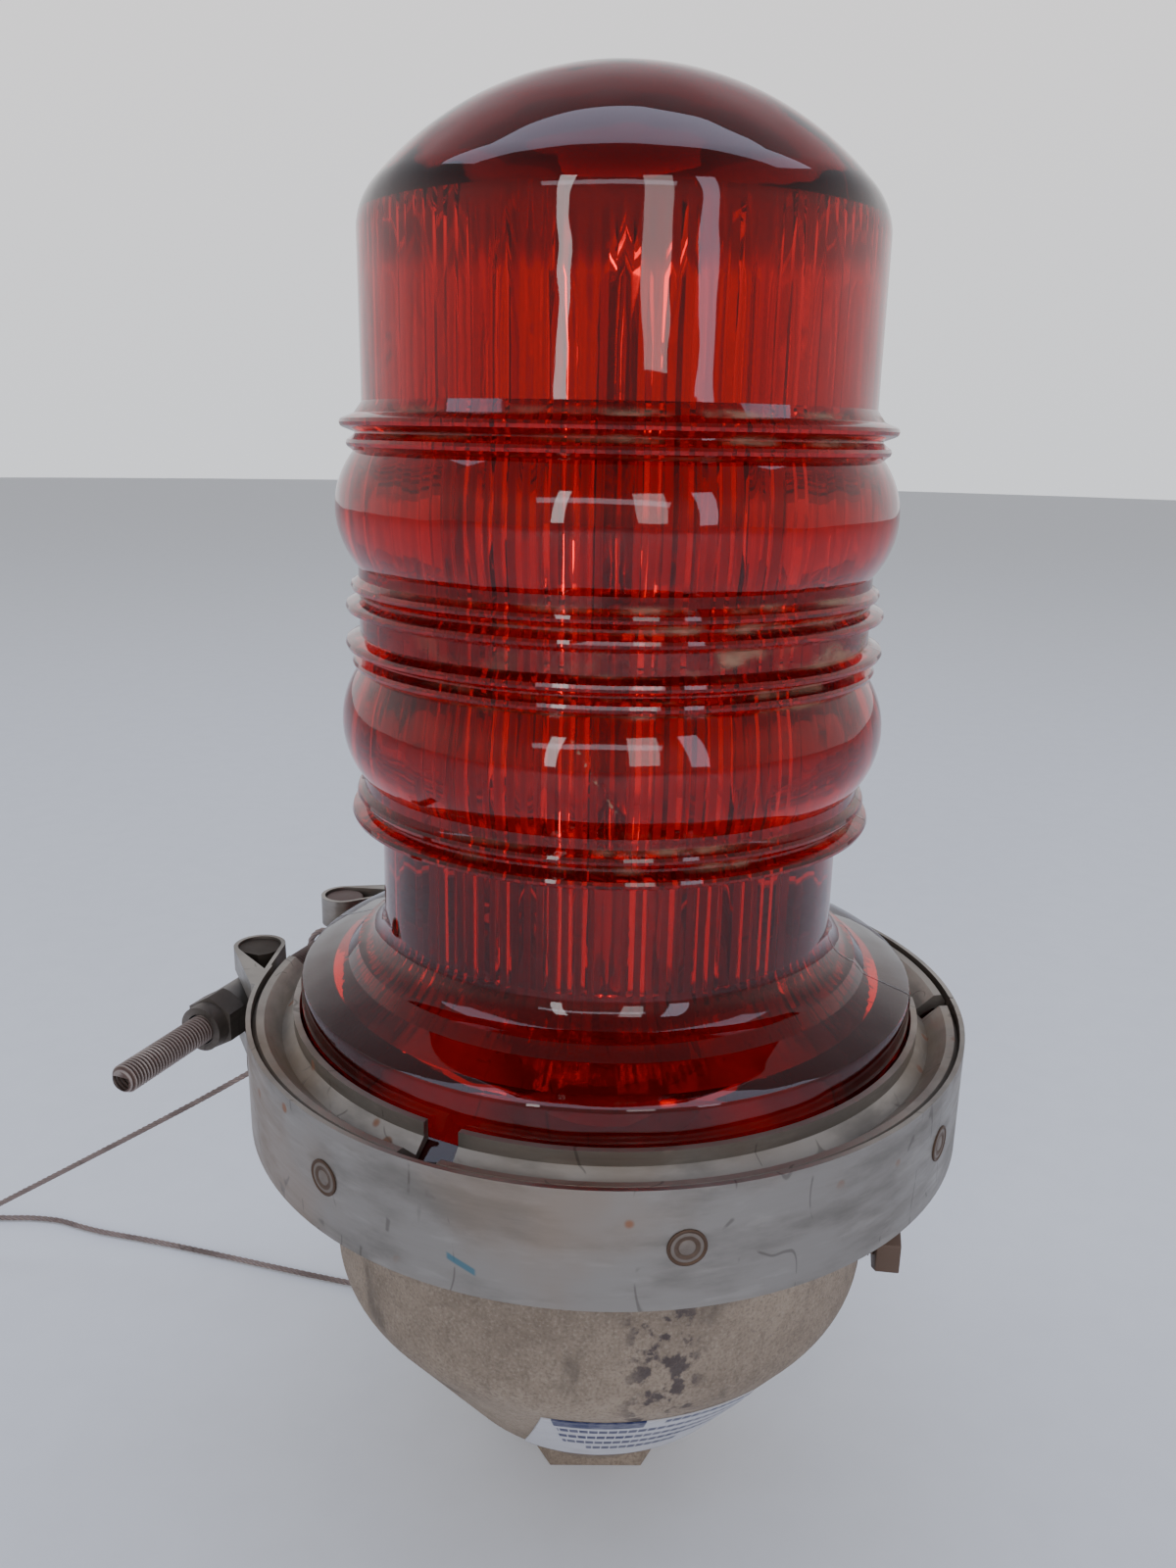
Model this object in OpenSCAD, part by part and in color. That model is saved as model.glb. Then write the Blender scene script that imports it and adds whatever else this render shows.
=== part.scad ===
// Red obstruction light: a two-belt glass globe clamped to a cast base by a T-bolt band.
// Origin at the centre of the hub's bottom face, +Z up, millimetres.

/* [Conduit hub] */
// Width of the hub's hexagon across its flats
hub_flats = 36.5; // [34:0.5:42]
// Height at which the hexagon runs into the cone
hub_h = 5; // [4:0.5:8]
// Radius of the tapped conduit hole's wall
conduit_r = 12; // [9:0.25:13.5]
// Depth of the tapped conduit hole
conduit_depth = 18; // [14:1:20]

/* [Cast bowl] */
// Outside radius of the bowl's straight wall
bowl_r = 60; // [54:1:64]
// Wall thickness of the casting
bowl_wall = 4.5; // [3.5:0.5:6]
// Height where the bowl's straight wall ends and its cone begins
bowl_side_z = 58; // [54:1:64]
// Height of the small step under the bowl's cone
step_z = 21; // [19:0.5:24]
// Radius of the step under the bowl's cone
step_r = 36.2; // [33:0.2:39]
// Outside radius of the clamping rims on the bowl and on the globe
rim_r = 70.5; // [69:0.5:71]
// Height of the clamp's middle plane above the hub's bottom face
clamp_z = 102; // [96:1:112]

/* [Globe] */
// Height of the globe from its seat to the end of its barrel
barrel_h = 164; // [150:1:180]
// Outside radius of the plain barrel
barrel_r = 49.5; // [46:0.5:51]
// Outside radius of the neck above the flange
neck_r = 47.6; // [46.5:0.2:49]
// Outside radius of the flange's straight side
flange_r = 65.5; // [62:0.5:66]
// Wall of the globe
glass_t = 5; // [3.5:0.5:6]
// Radius of the dome's crown
dome_r = 62; // [58:1:72]
// Radius of the dome's rounded shoulder
shoulder_r = 12; // [9:0.5:14]
// Height of the lower belt above the globe's seat
lower_belt_h = 72.3; // [68:0.5:76]
// Height of the upper belt above the globe's seat
upper_belt_h = 113.7; // [108:0.5:120]
// Outside radius of the two belts
belt_r = 55; // [53:0.5:57]
// Radius of the curve of each belt
belt_curve_r = 17; // [15:0.5:20]
// Thickness of the seal under the globe
seal_t = 3; // [2:0.5:4]

/* [Band clamp] */
// Inside radius of the band
band_r = 76.1; // [75.6:0.1:78]
// Thickness of the band
band_t = 1; // [0.8:0.1:1.4]
// Height of the band
band_h = 23.2; // [21:0.2:26]
// Thickness of the V retainers
retainer_t = 1.3; // [1:0.1:1.6]
// Distance of the T-bolt's line from the globe's axis
bolt_offset = 83; // [82.5:0.1:85]
// Direction of the point where the T-bolt's line comes nearest the axis
bolt_az = 157.5; // [155:0.5:160]
// Radius of the T-bolt over its thread
bolt_r = 3.175; // [2.6:0.005:3.3]
// Distance from the nearest point out to the T-bolt's end
bolt_reach = 60; // [54:1:64]
// Distance from the nearest point back to the T-bolt's head
head_back = 24.3; // [22:0.1:26]
// Distance from the nearest point out to the trunnion
trunnion_out = 12.3; // [11:0.1:14]
// Radius of the trunnion and of the T-bolt's head
trunnion_r = 4.9; // [4.6:0.1:5]
// Width of the lock nut across its flats
nut_flats = 11.1; // [10.4:0.1:11.3]

/* [Lamp] */
// Width of the heat-sink mast across its flats
mast_flats = 40; // [34:1:46]
// Number of LED boards on each level
led_count = 8; // [8]
// Thickness of the circuit boards
board_t = 1.6; // [1:0.2:2]
// Radius of the driver board
driver_r = 36; // [32:1:37]

/* [Fixings] */
// Radius of the ground bolt
ground_r = 3.175; // [2.5:0.005:3.3]
// Height of the ground bolt
ground_z = 54.5; // [53:0.5:56]
// Radius of the lanyard's wire rope
rope_r = 0.75; // [0.6:0.05:0.75]

/* [Hidden] */
$fn = 96;

// Clearances
seat_gap = 0.1;        // between pieces of one body that lie on each other
clamp_gap = 0.3;       // between a retainer and the rims it closes on
bolt_gap = 0.35;       // around the T-bolt, which swings a little as the clamp opens
fit_gap = 0.05;        // a screw or pin in its hole
loop_gap = 0.08;       // a trunnion in its band loop

// Heights of the clamped stack
seal_bottom_z = clamp_z - seal_t / 2;
seat_z = clamp_z + seal_t / 2;
rim_edge_h = 3.3;      // straight edge of each rim
rim_slope_h = 3.4;     // height of each rim's V slope
rim_neck_r = 66.4;     // radius where the V slope ends
rim_top_z = seat_z + rim_edge_h;
rim_neck_z = rim_top_z + rim_slope_h;

// Globe
barrel_top_z = seat_z + barrel_h;
barrel_inner_r = barrel_r - glass_t;
shoulder_z = barrel_top_z - 1.2;
dome_z = shoulder_z - sqrt(pow(dome_r - shoulder_r, 2) - pow(barrel_r - shoulder_r, 2));
shoulder_az = atan2(shoulder_z - dome_z, barrel_r - shoulder_r);
flange_top_z = seat_z + 18.3;
neck_z = flange_top_z + 9.3;
belt_zs = [seat_z + lower_belt_h, seat_z + upper_belt_h];
groove_r = 51;         // bottom of the grooves between the rings
// Rings beside each belt: distance from the belt's middle, and radius of the tip
belt_rings = [[-18.5, 53.6], [-14.6, 52.5], [12, 52.6], [15.7, 53.8]];
ring_half = 1.7;       // half the width of a ring at its root

// Bowl
cone_r = 21.3;         // where the lower cone meets the hexagon
lower_cone_r = step_r - 1.9;
bowl_curve_r = 14;     // blend between the bowl's wall and its cone
bowl_curve_at = [bowl_r - bowl_curve_r, bowl_side_z];
cone_top = touch(bowl_curve_at, bowl_curve_r, [step_r, step_z], 1);
cavity_r = bowl_r - bowl_wall;
boss_r = 5;            // bosses for the plate screws
boss_at = 47;          // their distance from the axis
plate_z = seal_bottom_z - 12.5; // underside of the mounting plate
plate_t = 2;
plate_r = 54.5;
ledge_r = cavity_r - 4;

// Clamp linkage, seen from above
bolt_dir = [-sin(bolt_az), cos(bolt_az)];
bolt_foot = [bolt_offset * cos(bolt_az), bolt_offset * sin(bolt_az)];
head_at = bolt_foot - head_back * bolt_dir;
trunnion_at = bolt_foot + trunnion_out * bolt_dir;
loop_r = trunnion_r + loop_gap;
sleeve_window_h = 11.8; // height of the window that the sleeve and bolt pass
bolt_window_h = 8;      // height of the window that the bolt passes
sleeve_r = 5.5;
sleeve_start = trunnion_out + 4.2;
sleeve_end = trunnion_out + 13.4;
nut_hex_end = sleeve_end + 5.8;
nut_end = nut_hex_end + 3.5;
bend_az = -3;          // where the two halves of the band meet
bend_gap = 0.15;

// Lamp
mast_z = plate_z + plate_t;
mast_top_z = belt_zs[1] + 12;
mast_bore_r = 11;
led_board_w = 14;
led_board_h = 22;
led_r = 2.6;
driver_z = plate_z - 17;
standoff_at = 30;
standoff_az = 20;
standoff_r = 2.8;
capacitor_r = 6.3;
choke_r = 9;

// Lanyard: route of the rope from the T-bolt's eye to the screw on the bowl
lanyard_az = 142;
lanyard_z = 66;
lanyard_screw_r = 2;
eye_r = 6;
eye_at = 7.9;           // from the T-bolt's head to the eye that hangs on it
eye_out = bowl_r + seat_gap + rope_r;
ferrule_r = 1.7;
rope_points = [
    [-70.4, 46.9, 85.5], [-70.5, 46.9, 82.5], [-71.9, 46.6, 79.6], [-75.5, 45.9, 76.2],
    [-81, 44.9, 72.9], [-87, 43.8, 69.7], [-94, 43, 65.8], [-105, 43.2, 59],
    [-118, 44.7, 50.8], [-131, 46.5, 42.6],
    [-144, 48.4, 34.4], [-156, 50.1, 26.9], [-167, 51.7, 20], [-176, 53.2, 14.2],
    [-184, 54.8, 9.1], [-192, 57.4, 4.6], [-199, 61.4, 1.7], [-203, 67, 0.8],
    [-203, 73, 0.8], [-199, 76.4, 0.8], [-192, 76.2, 0.8], [-185, 73.8, 0.8], [-178, 72.2, 0.8],
    [-169, 72.2, 0.8], [-160, 71, 0.8], [-152, 68, 0.8], [-144, 65.4, 0.8], [-128, 61.4, 0.8],
    [-112, 56.8, 0.8], [-98, 52.6, 0.8], [-84, 48.4, 0.8], [-70, 44.4, 0.8], [-61, 41.9, 1.6],
    [-55, 40.3, 5],
    [-51.2, 39.2, 10.5], [-49.6, 38.6, 18], [-49, 38.3, 28], [-48.8, 38.1, 38],
    [-48.8, 38.1, 47.5]];
rope_sides = 8;

// Points of an arc around c, from angle a to angle b
function arc(c, r, a, b, n) = [for (i = [0:n]) let (t = a + (b - a) * i / n)
    [c[0] + r * cos(t), c[1] + r * sin(t)]];

// Point where a line from p touches the circle around c, on the left (1) or right (-1) of it
function touch(c, r, p, side) = let (d = p - c, t = atan2(d[1], d[0]) + side * acos(r / norm(d)))
    [c[0] + r * cos(t), c[1] + r * sin(t)];

function polar(r, a) = [r * cos(a), r * sin(a)];

// Directions along the rope and the rings of points swept along it
function unit(v) = v / norm(v);
function heading(p, i) = unit(p[min(i + 1, len(p) - 1)] - p[max(i - 1, 0)]);
function side_of(h) = unit(cross(h, abs(h[2]) > 0.9 ? [1, 0, 0] : [0, 0, 1]));
function carry(v, h) = unit(v - (v * h) * h);
function sides(p, i) = i == 0 ? side_of(heading(p, 0)) : carry(sides(p, i - 1), heading(p, i));

// A tube with flat ends along the points p
module swept_tube(p, r, n) {
    rings = [for (i = [0:len(p) - 1]) let (h = heading(p, i), s = sides(p, i), u = cross(h, s))
        for (j = [0:n - 1]) p[i] + r * (cos(360 * j / n) * s + sin(360 * j / n) * u)];
    walls = [for (i = [0:len(p) - 2]) for (j = [0:n - 1]) let (k = (j + 1) % n)
        each [[i * n + j, (i + 1) * n + k, i * n + k], [i * n + j, (i + 1) * n + j, (i + 1) * n + k]]];
    first = [for (j = [0:n - 1]) j];
    last = [for (j = [n - 1:-1:0]) (len(p) - 1) * n + j];
    polyhedron(rings, concat([first, last], walls));
}

// Places children at direction az, distance r, height z, with their +Z pointing outwards
module radial(az, r, z) {
    rotate([0, 0, az]) translate([r, 0, z]) rotate([0, 90, 0]) children();
}

// Places children on the T-bolt's line at distance d, with their +Z along the bolt
module on_bolt(d) {
    p = bolt_foot + d * bolt_dir;
    translate([p[0], p[1], clamp_z]) rotate([0, 0, bolt_az + 90]) rotate([0, 90, 0]) children();
}

module hexagon(flats) {
    circle(r = flats / 2 / cos(30), $fn = 6);
}

// ---- Base ----

// Outline of the casting's right half, without the hexagon
module casting_outline() {
    turn = cone_top - bowl_curve_at;
    polygon(concat(
        [[0, hub_h - 2], [cone_r - 2, hub_h - 2], [cone_r, hub_h], [lower_cone_r, step_z - 0.7],
            [step_r, step_z]],
        arc(bowl_curve_at, bowl_curve_r, atan2(turn[1], turn[0]), 0, 8),
        [[bowl_r, seal_bottom_z - 10], [bowl_r + 4, rim_low(1)], [rim_neck_r, rim_low(1)],
            [rim_r, rim_low(0)], [rim_r, seal_bottom_z], [cavity_r, seal_bottom_z],
            [cavity_r, plate_z], [ledge_r, plate_z], [ledge_r, bowl_side_z - 4],
            [step_r - bowl_wall, step_z + 4], [0, step_z + 4]]));
}

// Height of the bowl rim's edge (0) and of its neck (1), the mirror image of the globe's
function rim_low(i) = seal_bottom_z - rim_edge_h - i * rim_slope_h;

module base_casting() {
    color("tan") difference() {
        union() {
            linear_extrude(hub_h + 3) hexagon(hub_flats);
            rotate_extrude() casting_outline();
            for (a = [45:90:315]) radial_boss(a);
        }
        translate([0, 0, -1]) cylinder(r = conduit_r, h = conduit_depth + 1);
        translate([0, 0, conduit_depth - 1]) cylinder(r = conduit_r - 2, h = step_z);
        for (a = [45:90:315]) rotate([0, 0, a]) translate([boss_at, 0, plate_z - 12])
            cylinder(r = 2 + fit_gap, h = 13);
        radial(-8, bowl_r - 12, ground_z) cylinder(r = ground_r + fit_gap, h = 14);
        radial(lanyard_az, bowl_r - 12, lanyard_z) cylinder(r = lanyard_screw_r + fit_gap, h = 14);
    }
}

// A boss for one plate screw, grown out of the bowl's wall
module radial_boss(a) {
    rotate([0, 0, a]) translate([boss_at, 0, plate_z - 16]) {
        cylinder(r = boss_r, h = 16);
        translate([0, -boss_r, 0]) cube([ledge_r - boss_at + 1, 2 * boss_r, 16]);
    }
}

module rating_label() {
    low = [step_r, step_z];
    dir = unit(cone_top - low);
    out = [dir[1], -dir[0]];
    a = low + 0.5 * dir + fit_gap * out;
    b = low + 33 * dir + fit_gap * out;
    color("whitesmoke") intersection() {
        rotate_extrude() polygon([a, b, b + 0.3 * out, a + 0.3 * out]);
        rotate([0, 0, -80]) translate([0, -21.5, 0]) cube([bowl_r, 43, bowl_side_z]);
    }
}

module globe_seal() {
    color("maroon") translate([0, 0, seal_bottom_z]) difference() {
        cylinder(r = rim_r - 0.5, h = seal_t);
        translate([0, 0, -1]) cylinder(r = cavity_r + 2, h = seal_t + 2);
    }
}

// ---- Globe ----

function ring_points(z, tip) = [[groove_r, z - ring_half], [tip - 0.3, z - 0.6], [tip, z],
    [tip - 0.3, z + 0.6], [groove_r, z + ring_half]];

function belt_points(z) = let (c = belt_r - belt_curve_r, a = acos((groove_r - c) / belt_curve_r))
    concat(ring_points(z + belt_rings[0][0], belt_rings[0][1]),
        ring_points(z + belt_rings[1][0], belt_rings[1][1]),
        arc([c, z], belt_curve_r, -a, a, 10),
        ring_points(z + belt_rings[2][0], belt_rings[2][1]),
        ring_points(z + belt_rings[3][0], belt_rings[3][1]));

module glass_globe() {
    inner_az = acos(barrel_inner_r / (dome_r - glass_t));
    color("red") rotate_extrude() polygon(concat(
        [[cavity_r + 2, seat_z], [rim_r, seat_z], [rim_r, rim_top_z], [rim_neck_r, rim_neck_z],
            [flange_r, rim_neck_z + 0.4], [flange_r, flange_top_z - 1],
            [flange_r - 1, flange_top_z], [neck_r + 8, flange_top_z + 3]],
        arc([neck_r + 7, neck_z + 3], 7, -100, -180, 6),
        [[neck_r, belt_zs[0] - 21.5]],
        belt_points(belt_zs[0]), belt_points(belt_zs[1]),
        [[barrel_r, belt_zs[1] + 19.5]],
        arc([barrel_r - shoulder_r, shoulder_z], shoulder_r, 0, shoulder_az, 6),
        arc([0, dome_z], dome_r, shoulder_az, 90, 14),
        arc([0, dome_z], dome_r - glass_t, 90, inner_az, 12),
        [[barrel_inner_r, neck_z + 2], [cavity_r + 2, flange_top_z - 4]]));
}

// ---- Band clamp ----

// A sector of a ring between the directions a and b
module ring_sector(r1, r2, a, b) {
    n = ceil(abs(b - a) / 30);
    wedge = concat([[0, 0]], [for (i = [0:n]) polar(2 * r2, a + (b - a) * i / n)]);
    intersection() {
        rotate(a - 30) difference() {
            circle(r = r2);
            circle(r = r1);
        }
        polygon(wedge);
    }
}

// The folded end of a band: a loop around the point c, running back along the band
module folded_loop(c, way) {
    az = atan2(c[1], c[0]);
    outer_r = loop_r + band_t;
    hug_r = outer_r - 0.03;
    inner = polar(band_r + 0.3, az + way * 9);
    near = polar(band_r + 0.3, az + way * 15);
    back = polar(band_r + 2 * band_t, az + way * 15);
    tip = polar(band_r + band_t + 0.2, az + way * 9);
    difference() {
        union() {
            translate(c) circle(r = outer_r);
            polygon([touch(c, hug_r, inner, way), inner, near, back,
                touch(c, hug_r, back, -way), c]);
        }
        translate(c) circle(r = loop_r);
        polygon([touch(c, loop_r, tip, way), tip, touch(c, loop_r, tip, -way), c]);
    }
}

// One half of the band between the directions a and b, with a loop around c at one end.
// A window of height h through the loop's middle lets the T-bolt pass.
module band_half(a, b, c, way, h) {
    finger_h = (band_h - h) / 2;
    color("silver") translate([0, 0, clamp_z - band_h / 2]) {
        linear_extrude(band_h) ring_sector(band_r, band_r + band_t, a, b);
        for (z = [0, band_h - finger_h]) translate([0, 0, z])
            linear_extrude(finger_h) folded_loop(c, way);
    }
}

module band_front() {
    az = atan2(trunnion_at[1], trunnion_at[0]);
    band_half(az + 7.5, 360 + bend_az - bend_gap, trunnion_at, 1, sleeve_window_h);
}

module band_rear() {
    az = atan2(head_at[1], head_at[0]);
    band_half(bend_az + bend_gap, az - 7.5, head_at, -1, bolt_window_h);
}

// Section of a V retainer, whose lips turn away from the clamp's middle plane
module retainer_outline() {
    r = band_r - seat_gap;
    t = retainer_t;
    lip_r = flange_r + 2 * clamp_gap;
    neck_h = rim_neck_z - clamp_z;
    edge_h = rim_top_z - clamp_z;
    inner = [[lip_r, neck_h + 4.4], [lip_r, neck_h + 2 * clamp_gap],
        [rim_r - clamp_gap, edge_h + 2 * clamp_gap], [r - 2.4, edge_h + 3], [r - t, edge_h + 2]];
    outer = [[r, neck_h + 1.2], [r - 1, neck_h + 2.8], [r - 2.6, neck_h + 2.6],
        [rim_r - 0.6, edge_h + 2.6], [lip_r + t, neck_h + 1.6], [lip_r + t, neck_h + 4.4]];
    polygon(concat(outer, inner, [for (i = [4:-1:0]) [inner[i][0], -inner[i][1]]],
        [for (i = [5:-1:0]) [outer[i][0], -outer[i][1]]]));
}

module retainer(a, b) {
    color("silver") translate([0, 0, clamp_z]) rotate([0, 0, a])
        rotate_extrude(angle = b - a) retainer_outline();
}

module retainer_left() { retainer(168, 240.4); }
module retainer_right() { retainer(246.4, 355); }
module retainer_rear() { retainer(-1, 112); }

module t_bolt() {
    color("rosybrown") union() {
        on_bolt(-head_back) cylinder(r = bolt_r, h = head_back + bolt_reach);
        translate([head_at[0], head_at[1], clamp_z - band_h / 2 + 0.6])
            cylinder(r = trunnion_r, h = band_h - 1.2);
    }
}

module trunnion() {
    color("silver") difference() {
        translate([trunnion_at[0], trunnion_at[1], clamp_z - band_h / 2 + 0.6])
            cylinder(r = trunnion_r, h = band_h - 1.2);
        on_bolt(0) cylinder(r = bolt_r + bolt_gap, h = 30);
        on_bolt(sleeve_start) translate([-band_h, -band_h, 0]) cube([2 * band_h, 2 * band_h, 9]);
    }
}

module spacer_sleeve() {
    color("gainsboro") difference() {
        on_bolt(sleeve_start + 0.02) cylinder(r = sleeve_r, h = sleeve_end - sleeve_start - 0.02);
        on_bolt(sleeve_start - 1) cylinder(r = bolt_r + bolt_gap, h = 16);
    }
}

module lock_nut() {
    color("gray") difference() {
        union() {
            on_bolt(sleeve_end + seat_gap) intersection() {
                linear_extrude(nut_hex_end - sleeve_end) hexagon(nut_flats);
                cylinder(r1 = nut_flats / 2 + 0.2, r2 = nut_flats / 2 + 6, h = 6);
            }
            on_bolt(nut_hex_end - 1) cylinder(r = nut_flats / 2 - 0.4, h = nut_end - nut_hex_end + 1);
        }
        on_bolt(sleeve_end) cylinder(r = bolt_r + bolt_gap, h = 12);
        on_bolt(nut_end - 2.6) cylinder(r = bolt_r + 1.3, h = 1.8);
    }
}

module nut_insert() {
    color("steelblue") on_bolt(nut_end - 2.6) difference() {
        cylinder(r = bolt_r + 1.3, h = 1.8);
        translate([0, 0, -1]) cylinder(r = bolt_r + bolt_gap, h = 4);
    }
}

// ---- Lanyard ----

// How far an eye's middle hangs below the shank of radius r that carries it
function eye_drop(r) = eye_r - rope_r - r - clamp_gap;

module rope_ring(r) {
    rotate_extrude() translate([r, 0]) circle(r = rope_r, $fn = 32);
}

module lanyard_eyes() {
    color("silver") {
        translate([0, 0, -eye_drop(bolt_r)]) on_bolt(eye_at - head_back) rope_ring(eye_r);
        radial(lanyard_az, eye_out, lanyard_z - eye_drop(lanyard_screw_r)) rope_ring(eye_r);
    }
}

// A crimp ferrule from the rope's end p up to the eye's lowest point at height top
module ferrule(p, top) {
    translate(p) cylinder(r = ferrule_r, h = top - p[2]);
}

module lanyard_ferrules() {
    color("silver") {
        ferrule(rope_points[0], clamp_z - eye_drop(bolt_r) - eye_r - rope_r);
        ferrule(rope_points[len(rope_points) - 1],
            lanyard_z - eye_drop(lanyard_screw_r) - eye_r - rope_r);
    }
}

module lanyard_rope() {
    color("dimgray") swept_tube(rope_points, rope_r, rope_sides);
}

module lanyard_screw() {
    color("silver") {
        radial(lanyard_az, bowl_r - 7, lanyard_z) cylinder(r = lanyard_screw_r, h = 10);
        radial(lanyard_az, eye_out + rope_r + seat_gap, lanyard_z) cylinder(r = 6, h = 1);
        radial(lanyard_az, eye_out + rope_r + seat_gap + 1, lanyard_z) cylinder(r = 3.9, h = 2.6);
    }
}

module ground_bolt() {
    color("sienna") {
        radial(-8, bowl_r - 8, ground_z) cylinder(r = ground_r, h = 12);
        radial(-8, bowl_r + 3.5, ground_z) intersection() {
            linear_extrude(5.4) hexagon(12);
            cylinder(r1 = 12.4, r2 = 6.6, h = 5.41);
        }
    }
}

// ---- Lamp inside the globe ----

module mounting_plate() {
    color("lightgray") translate([0, 0, plate_z]) difference() {
        cylinder(r = plate_r, h = plate_t);
        translate([0, 0, -1]) cylinder(r = mast_bore_r, h = plate_t + 2);
        for (a = [45:90:315]) rotate([0, 0, a]) translate([boss_at, 0, -1])
            cylinder(r = 2.2, h = plate_t + 2);
        for (a = [0:90:270]) rotate([0, 0, a + standoff_az]) translate([standoff_at, 0, -1])
            cylinder(r = 1.5 + fit_gap, h = plate_t + 2);
        for (a = [22.5:90:292.5]) rotate([0, 0, a + 45]) translate([25, 0, -1])
            cylinder(r = 1.5 + fit_gap, h = plate_t + 2);
    }
}

// A pan-head screw standing on the plane z = 0, with its shank going down
module pan_screw(shank_r, shank_h, head_r, head_h) {
    cylinder(r = head_r, h = head_h);
    translate([0, 0, -shank_h]) cylinder(r = shank_r, h = shank_h);
}

module plate_screws() {
    color("silver") for (a = [45:90:315]) rotate([0, 0, a])
        translate([boss_at, 0, plate_z + plate_t]) pan_screw(2, 12, 4, 2.4);
}

module heat_sink_mast() {
    color("silver") difference() {
        union() {
            translate([0, 0, mast_z]) rotate([0, 0, 22.5]) linear_extrude(mast_top_z - mast_z)
                circle(r = mast_flats / 2 / cos(22.5), $fn = 8);
            translate([0, 0, mast_z]) cylinder(r = 29, h = 4);
        }
        translate([0, 0, mast_z - 1]) cylinder(r = mast_bore_r, h = mast_top_z);
        for (a = [22.5:90:292.5]) rotate([0, 0, a + 45]) translate([25, 0, mast_z - 1])
            cylinder(r = 1.5 + fit_gap, h = 6);
    }
}

module mast_screws() {
    color("silver") for (a = [22.5:90:292.5]) rotate([0, 0, a + 45])
        translate([25, 0, mast_z + 4]) pan_screw(1.5, 7, 2.6, 1.8);
}

module led_boards(z) {
    color("white") for (i = [0:led_count - 1]) rotate([0, 0, 360 * i / led_count])
        translate([mast_flats / 2, -led_board_w / 2, z - led_board_h / 2])
            cube([board_t, led_board_w, led_board_h]);
}

module leds(z) {
    color("gold") for (i = [0:led_count - 1]) radial(360 * i / led_count, mast_flats / 2 + board_t, z) {
        cylinder(r = led_r, h = 1.2);
        translate([0, 0, 1.2]) intersection() {
            translate([0, 0, -0.6]) sphere(r = 2.3);
            cylinder(r = led_r, h = 3);
        }
    }
}

module lower_led_boards() { led_boards(belt_zs[0]); }
module upper_led_boards() { led_boards(belt_zs[1]); }
module lower_leds() { leds(belt_zs[0]); }
module upper_leds() { leds(belt_zs[1]); }

// ---- Driver in the bowl ----

module board_standoffs() {
    h = plate_z - driver_z - board_t;
    color("gold") for (a = [0:90:270]) rotate([0, 0, a + standoff_az])
        translate([standoff_at, 0, driver_z + board_t]) difference() {
            union() {
                linear_extrude(h) hexagon(2 * standoff_r);
                cylinder(r = 1.5, h = h + plate_t - 0.2);
            }
            translate([0, 0, -1]) cylinder(r = 1.25 + fit_gap, h = 8);
        }
}

module driver_board() {
    color("darkgreen") translate([0, 0, driver_z]) difference() {
        cylinder(r = driver_r, h = board_t);
        for (a = [0:90:270]) rotate([0, 0, a + standoff_az]) translate([standoff_at, 0, -1])
            cylinder(r = 1.5, h = board_t + 2);
    }
}

module board_screws() {
    color("silver") for (a = [0:90:270]) rotate([0, 0, a + standoff_az])
        translate([standoff_at, 0, driver_z]) mirror([0, 0, 1]) pan_screw(1.25, 7, 2.3, 1.6);
}

// Places children under the driver board, with their +Z pointing down
module under_board(x, y) {
    translate([x, y, driver_z]) mirror([0, 0, 1]) children();
}

module driver_capacitors() {
    color("midnightblue") for (x = [-12, 3]) under_board(x, 16) union() {
        cylinder(r = capacitor_r, h = 20);
        cylinder(r = capacitor_r + 0.3, h = 1.5);
    }
}

module driver_choke() {
    color("darkorange") under_board(-14, -12) difference() {
        cylinder(r = choke_r, h = 8);
        translate([0, 0, -1]) cylinder(r = choke_r - 5, h = 10);
    }
}

module surge_suppressor() {
    color("royalblue") under_board(18, 17) translate([-6, -2, 0]) union() {
        translate([6, 2, 8]) rotate([90, 0, 0]) cylinder(r = 6.5, h = 4, center = true);
        translate([3, 1.6, 0]) cylinder(r = 0.5, h = 5);
        translate([9, 2.4, 0]) cylinder(r = 0.5, h = 5);
    }
}

module driver_chips() {
    color("black") {
        under_board(2, -6) cube([7, 5, 1.8]);
        under_board(-30, 2) cube([6, 6, 1.8]);
        under_board(-4, -24) cube([10, 6, 2.4]);
    }
}

module terminal_block() {
    color("darkslategray") under_board(14, -15) difference() {
        cube([12, 24, 11]);
        for (i = [0:2]) translate([6, 4 + 8 * i, 4]) cylinder(r = 2.1, h = 8);
        for (i = [0:2]) translate([9, 1.5 + 8 * i, 2]) cube([4, 5, 5]);
    }
}

module terminal_screws() {
    color("silver") for (i = [0:2]) under_board(20, -11 + 8 * i) translate([0, 0, 6])
        cylinder(r = 2, h = 3.6);
}

base_casting();
rating_label();
globe_seal();
glass_globe();
band_front();
band_rear();
retainer_left();
retainer_right();
retainer_rear();
t_bolt();
trunnion();
spacer_sleeve();
lock_nut();
nut_insert();
lanyard_eyes();
lanyard_ferrules();
lanyard_rope();
lanyard_screw();
ground_bolt();
mounting_plate();
plate_screws();
heat_sink_mast();
mast_screws();
lower_led_boards();
upper_led_boards();
lower_leds();
upper_leds();
board_standoffs();
driver_board();
board_screws();
driver_capacitors();
driver_choke();
surge_suppressor();
driver_chips();
terminal_block();
terminal_screws();
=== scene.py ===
"""Looks of a red obstruction light: fluted glass globe, T-bolt band clamp, cast base, LED mast
and wire lanyard."""

from __future__ import annotations

import logging
import math
from dataclasses import dataclass
from enum import Enum
from typing import Any, Callable, Sequence, Union

import bpy
from mathutils import Matrix, Vector

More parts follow.
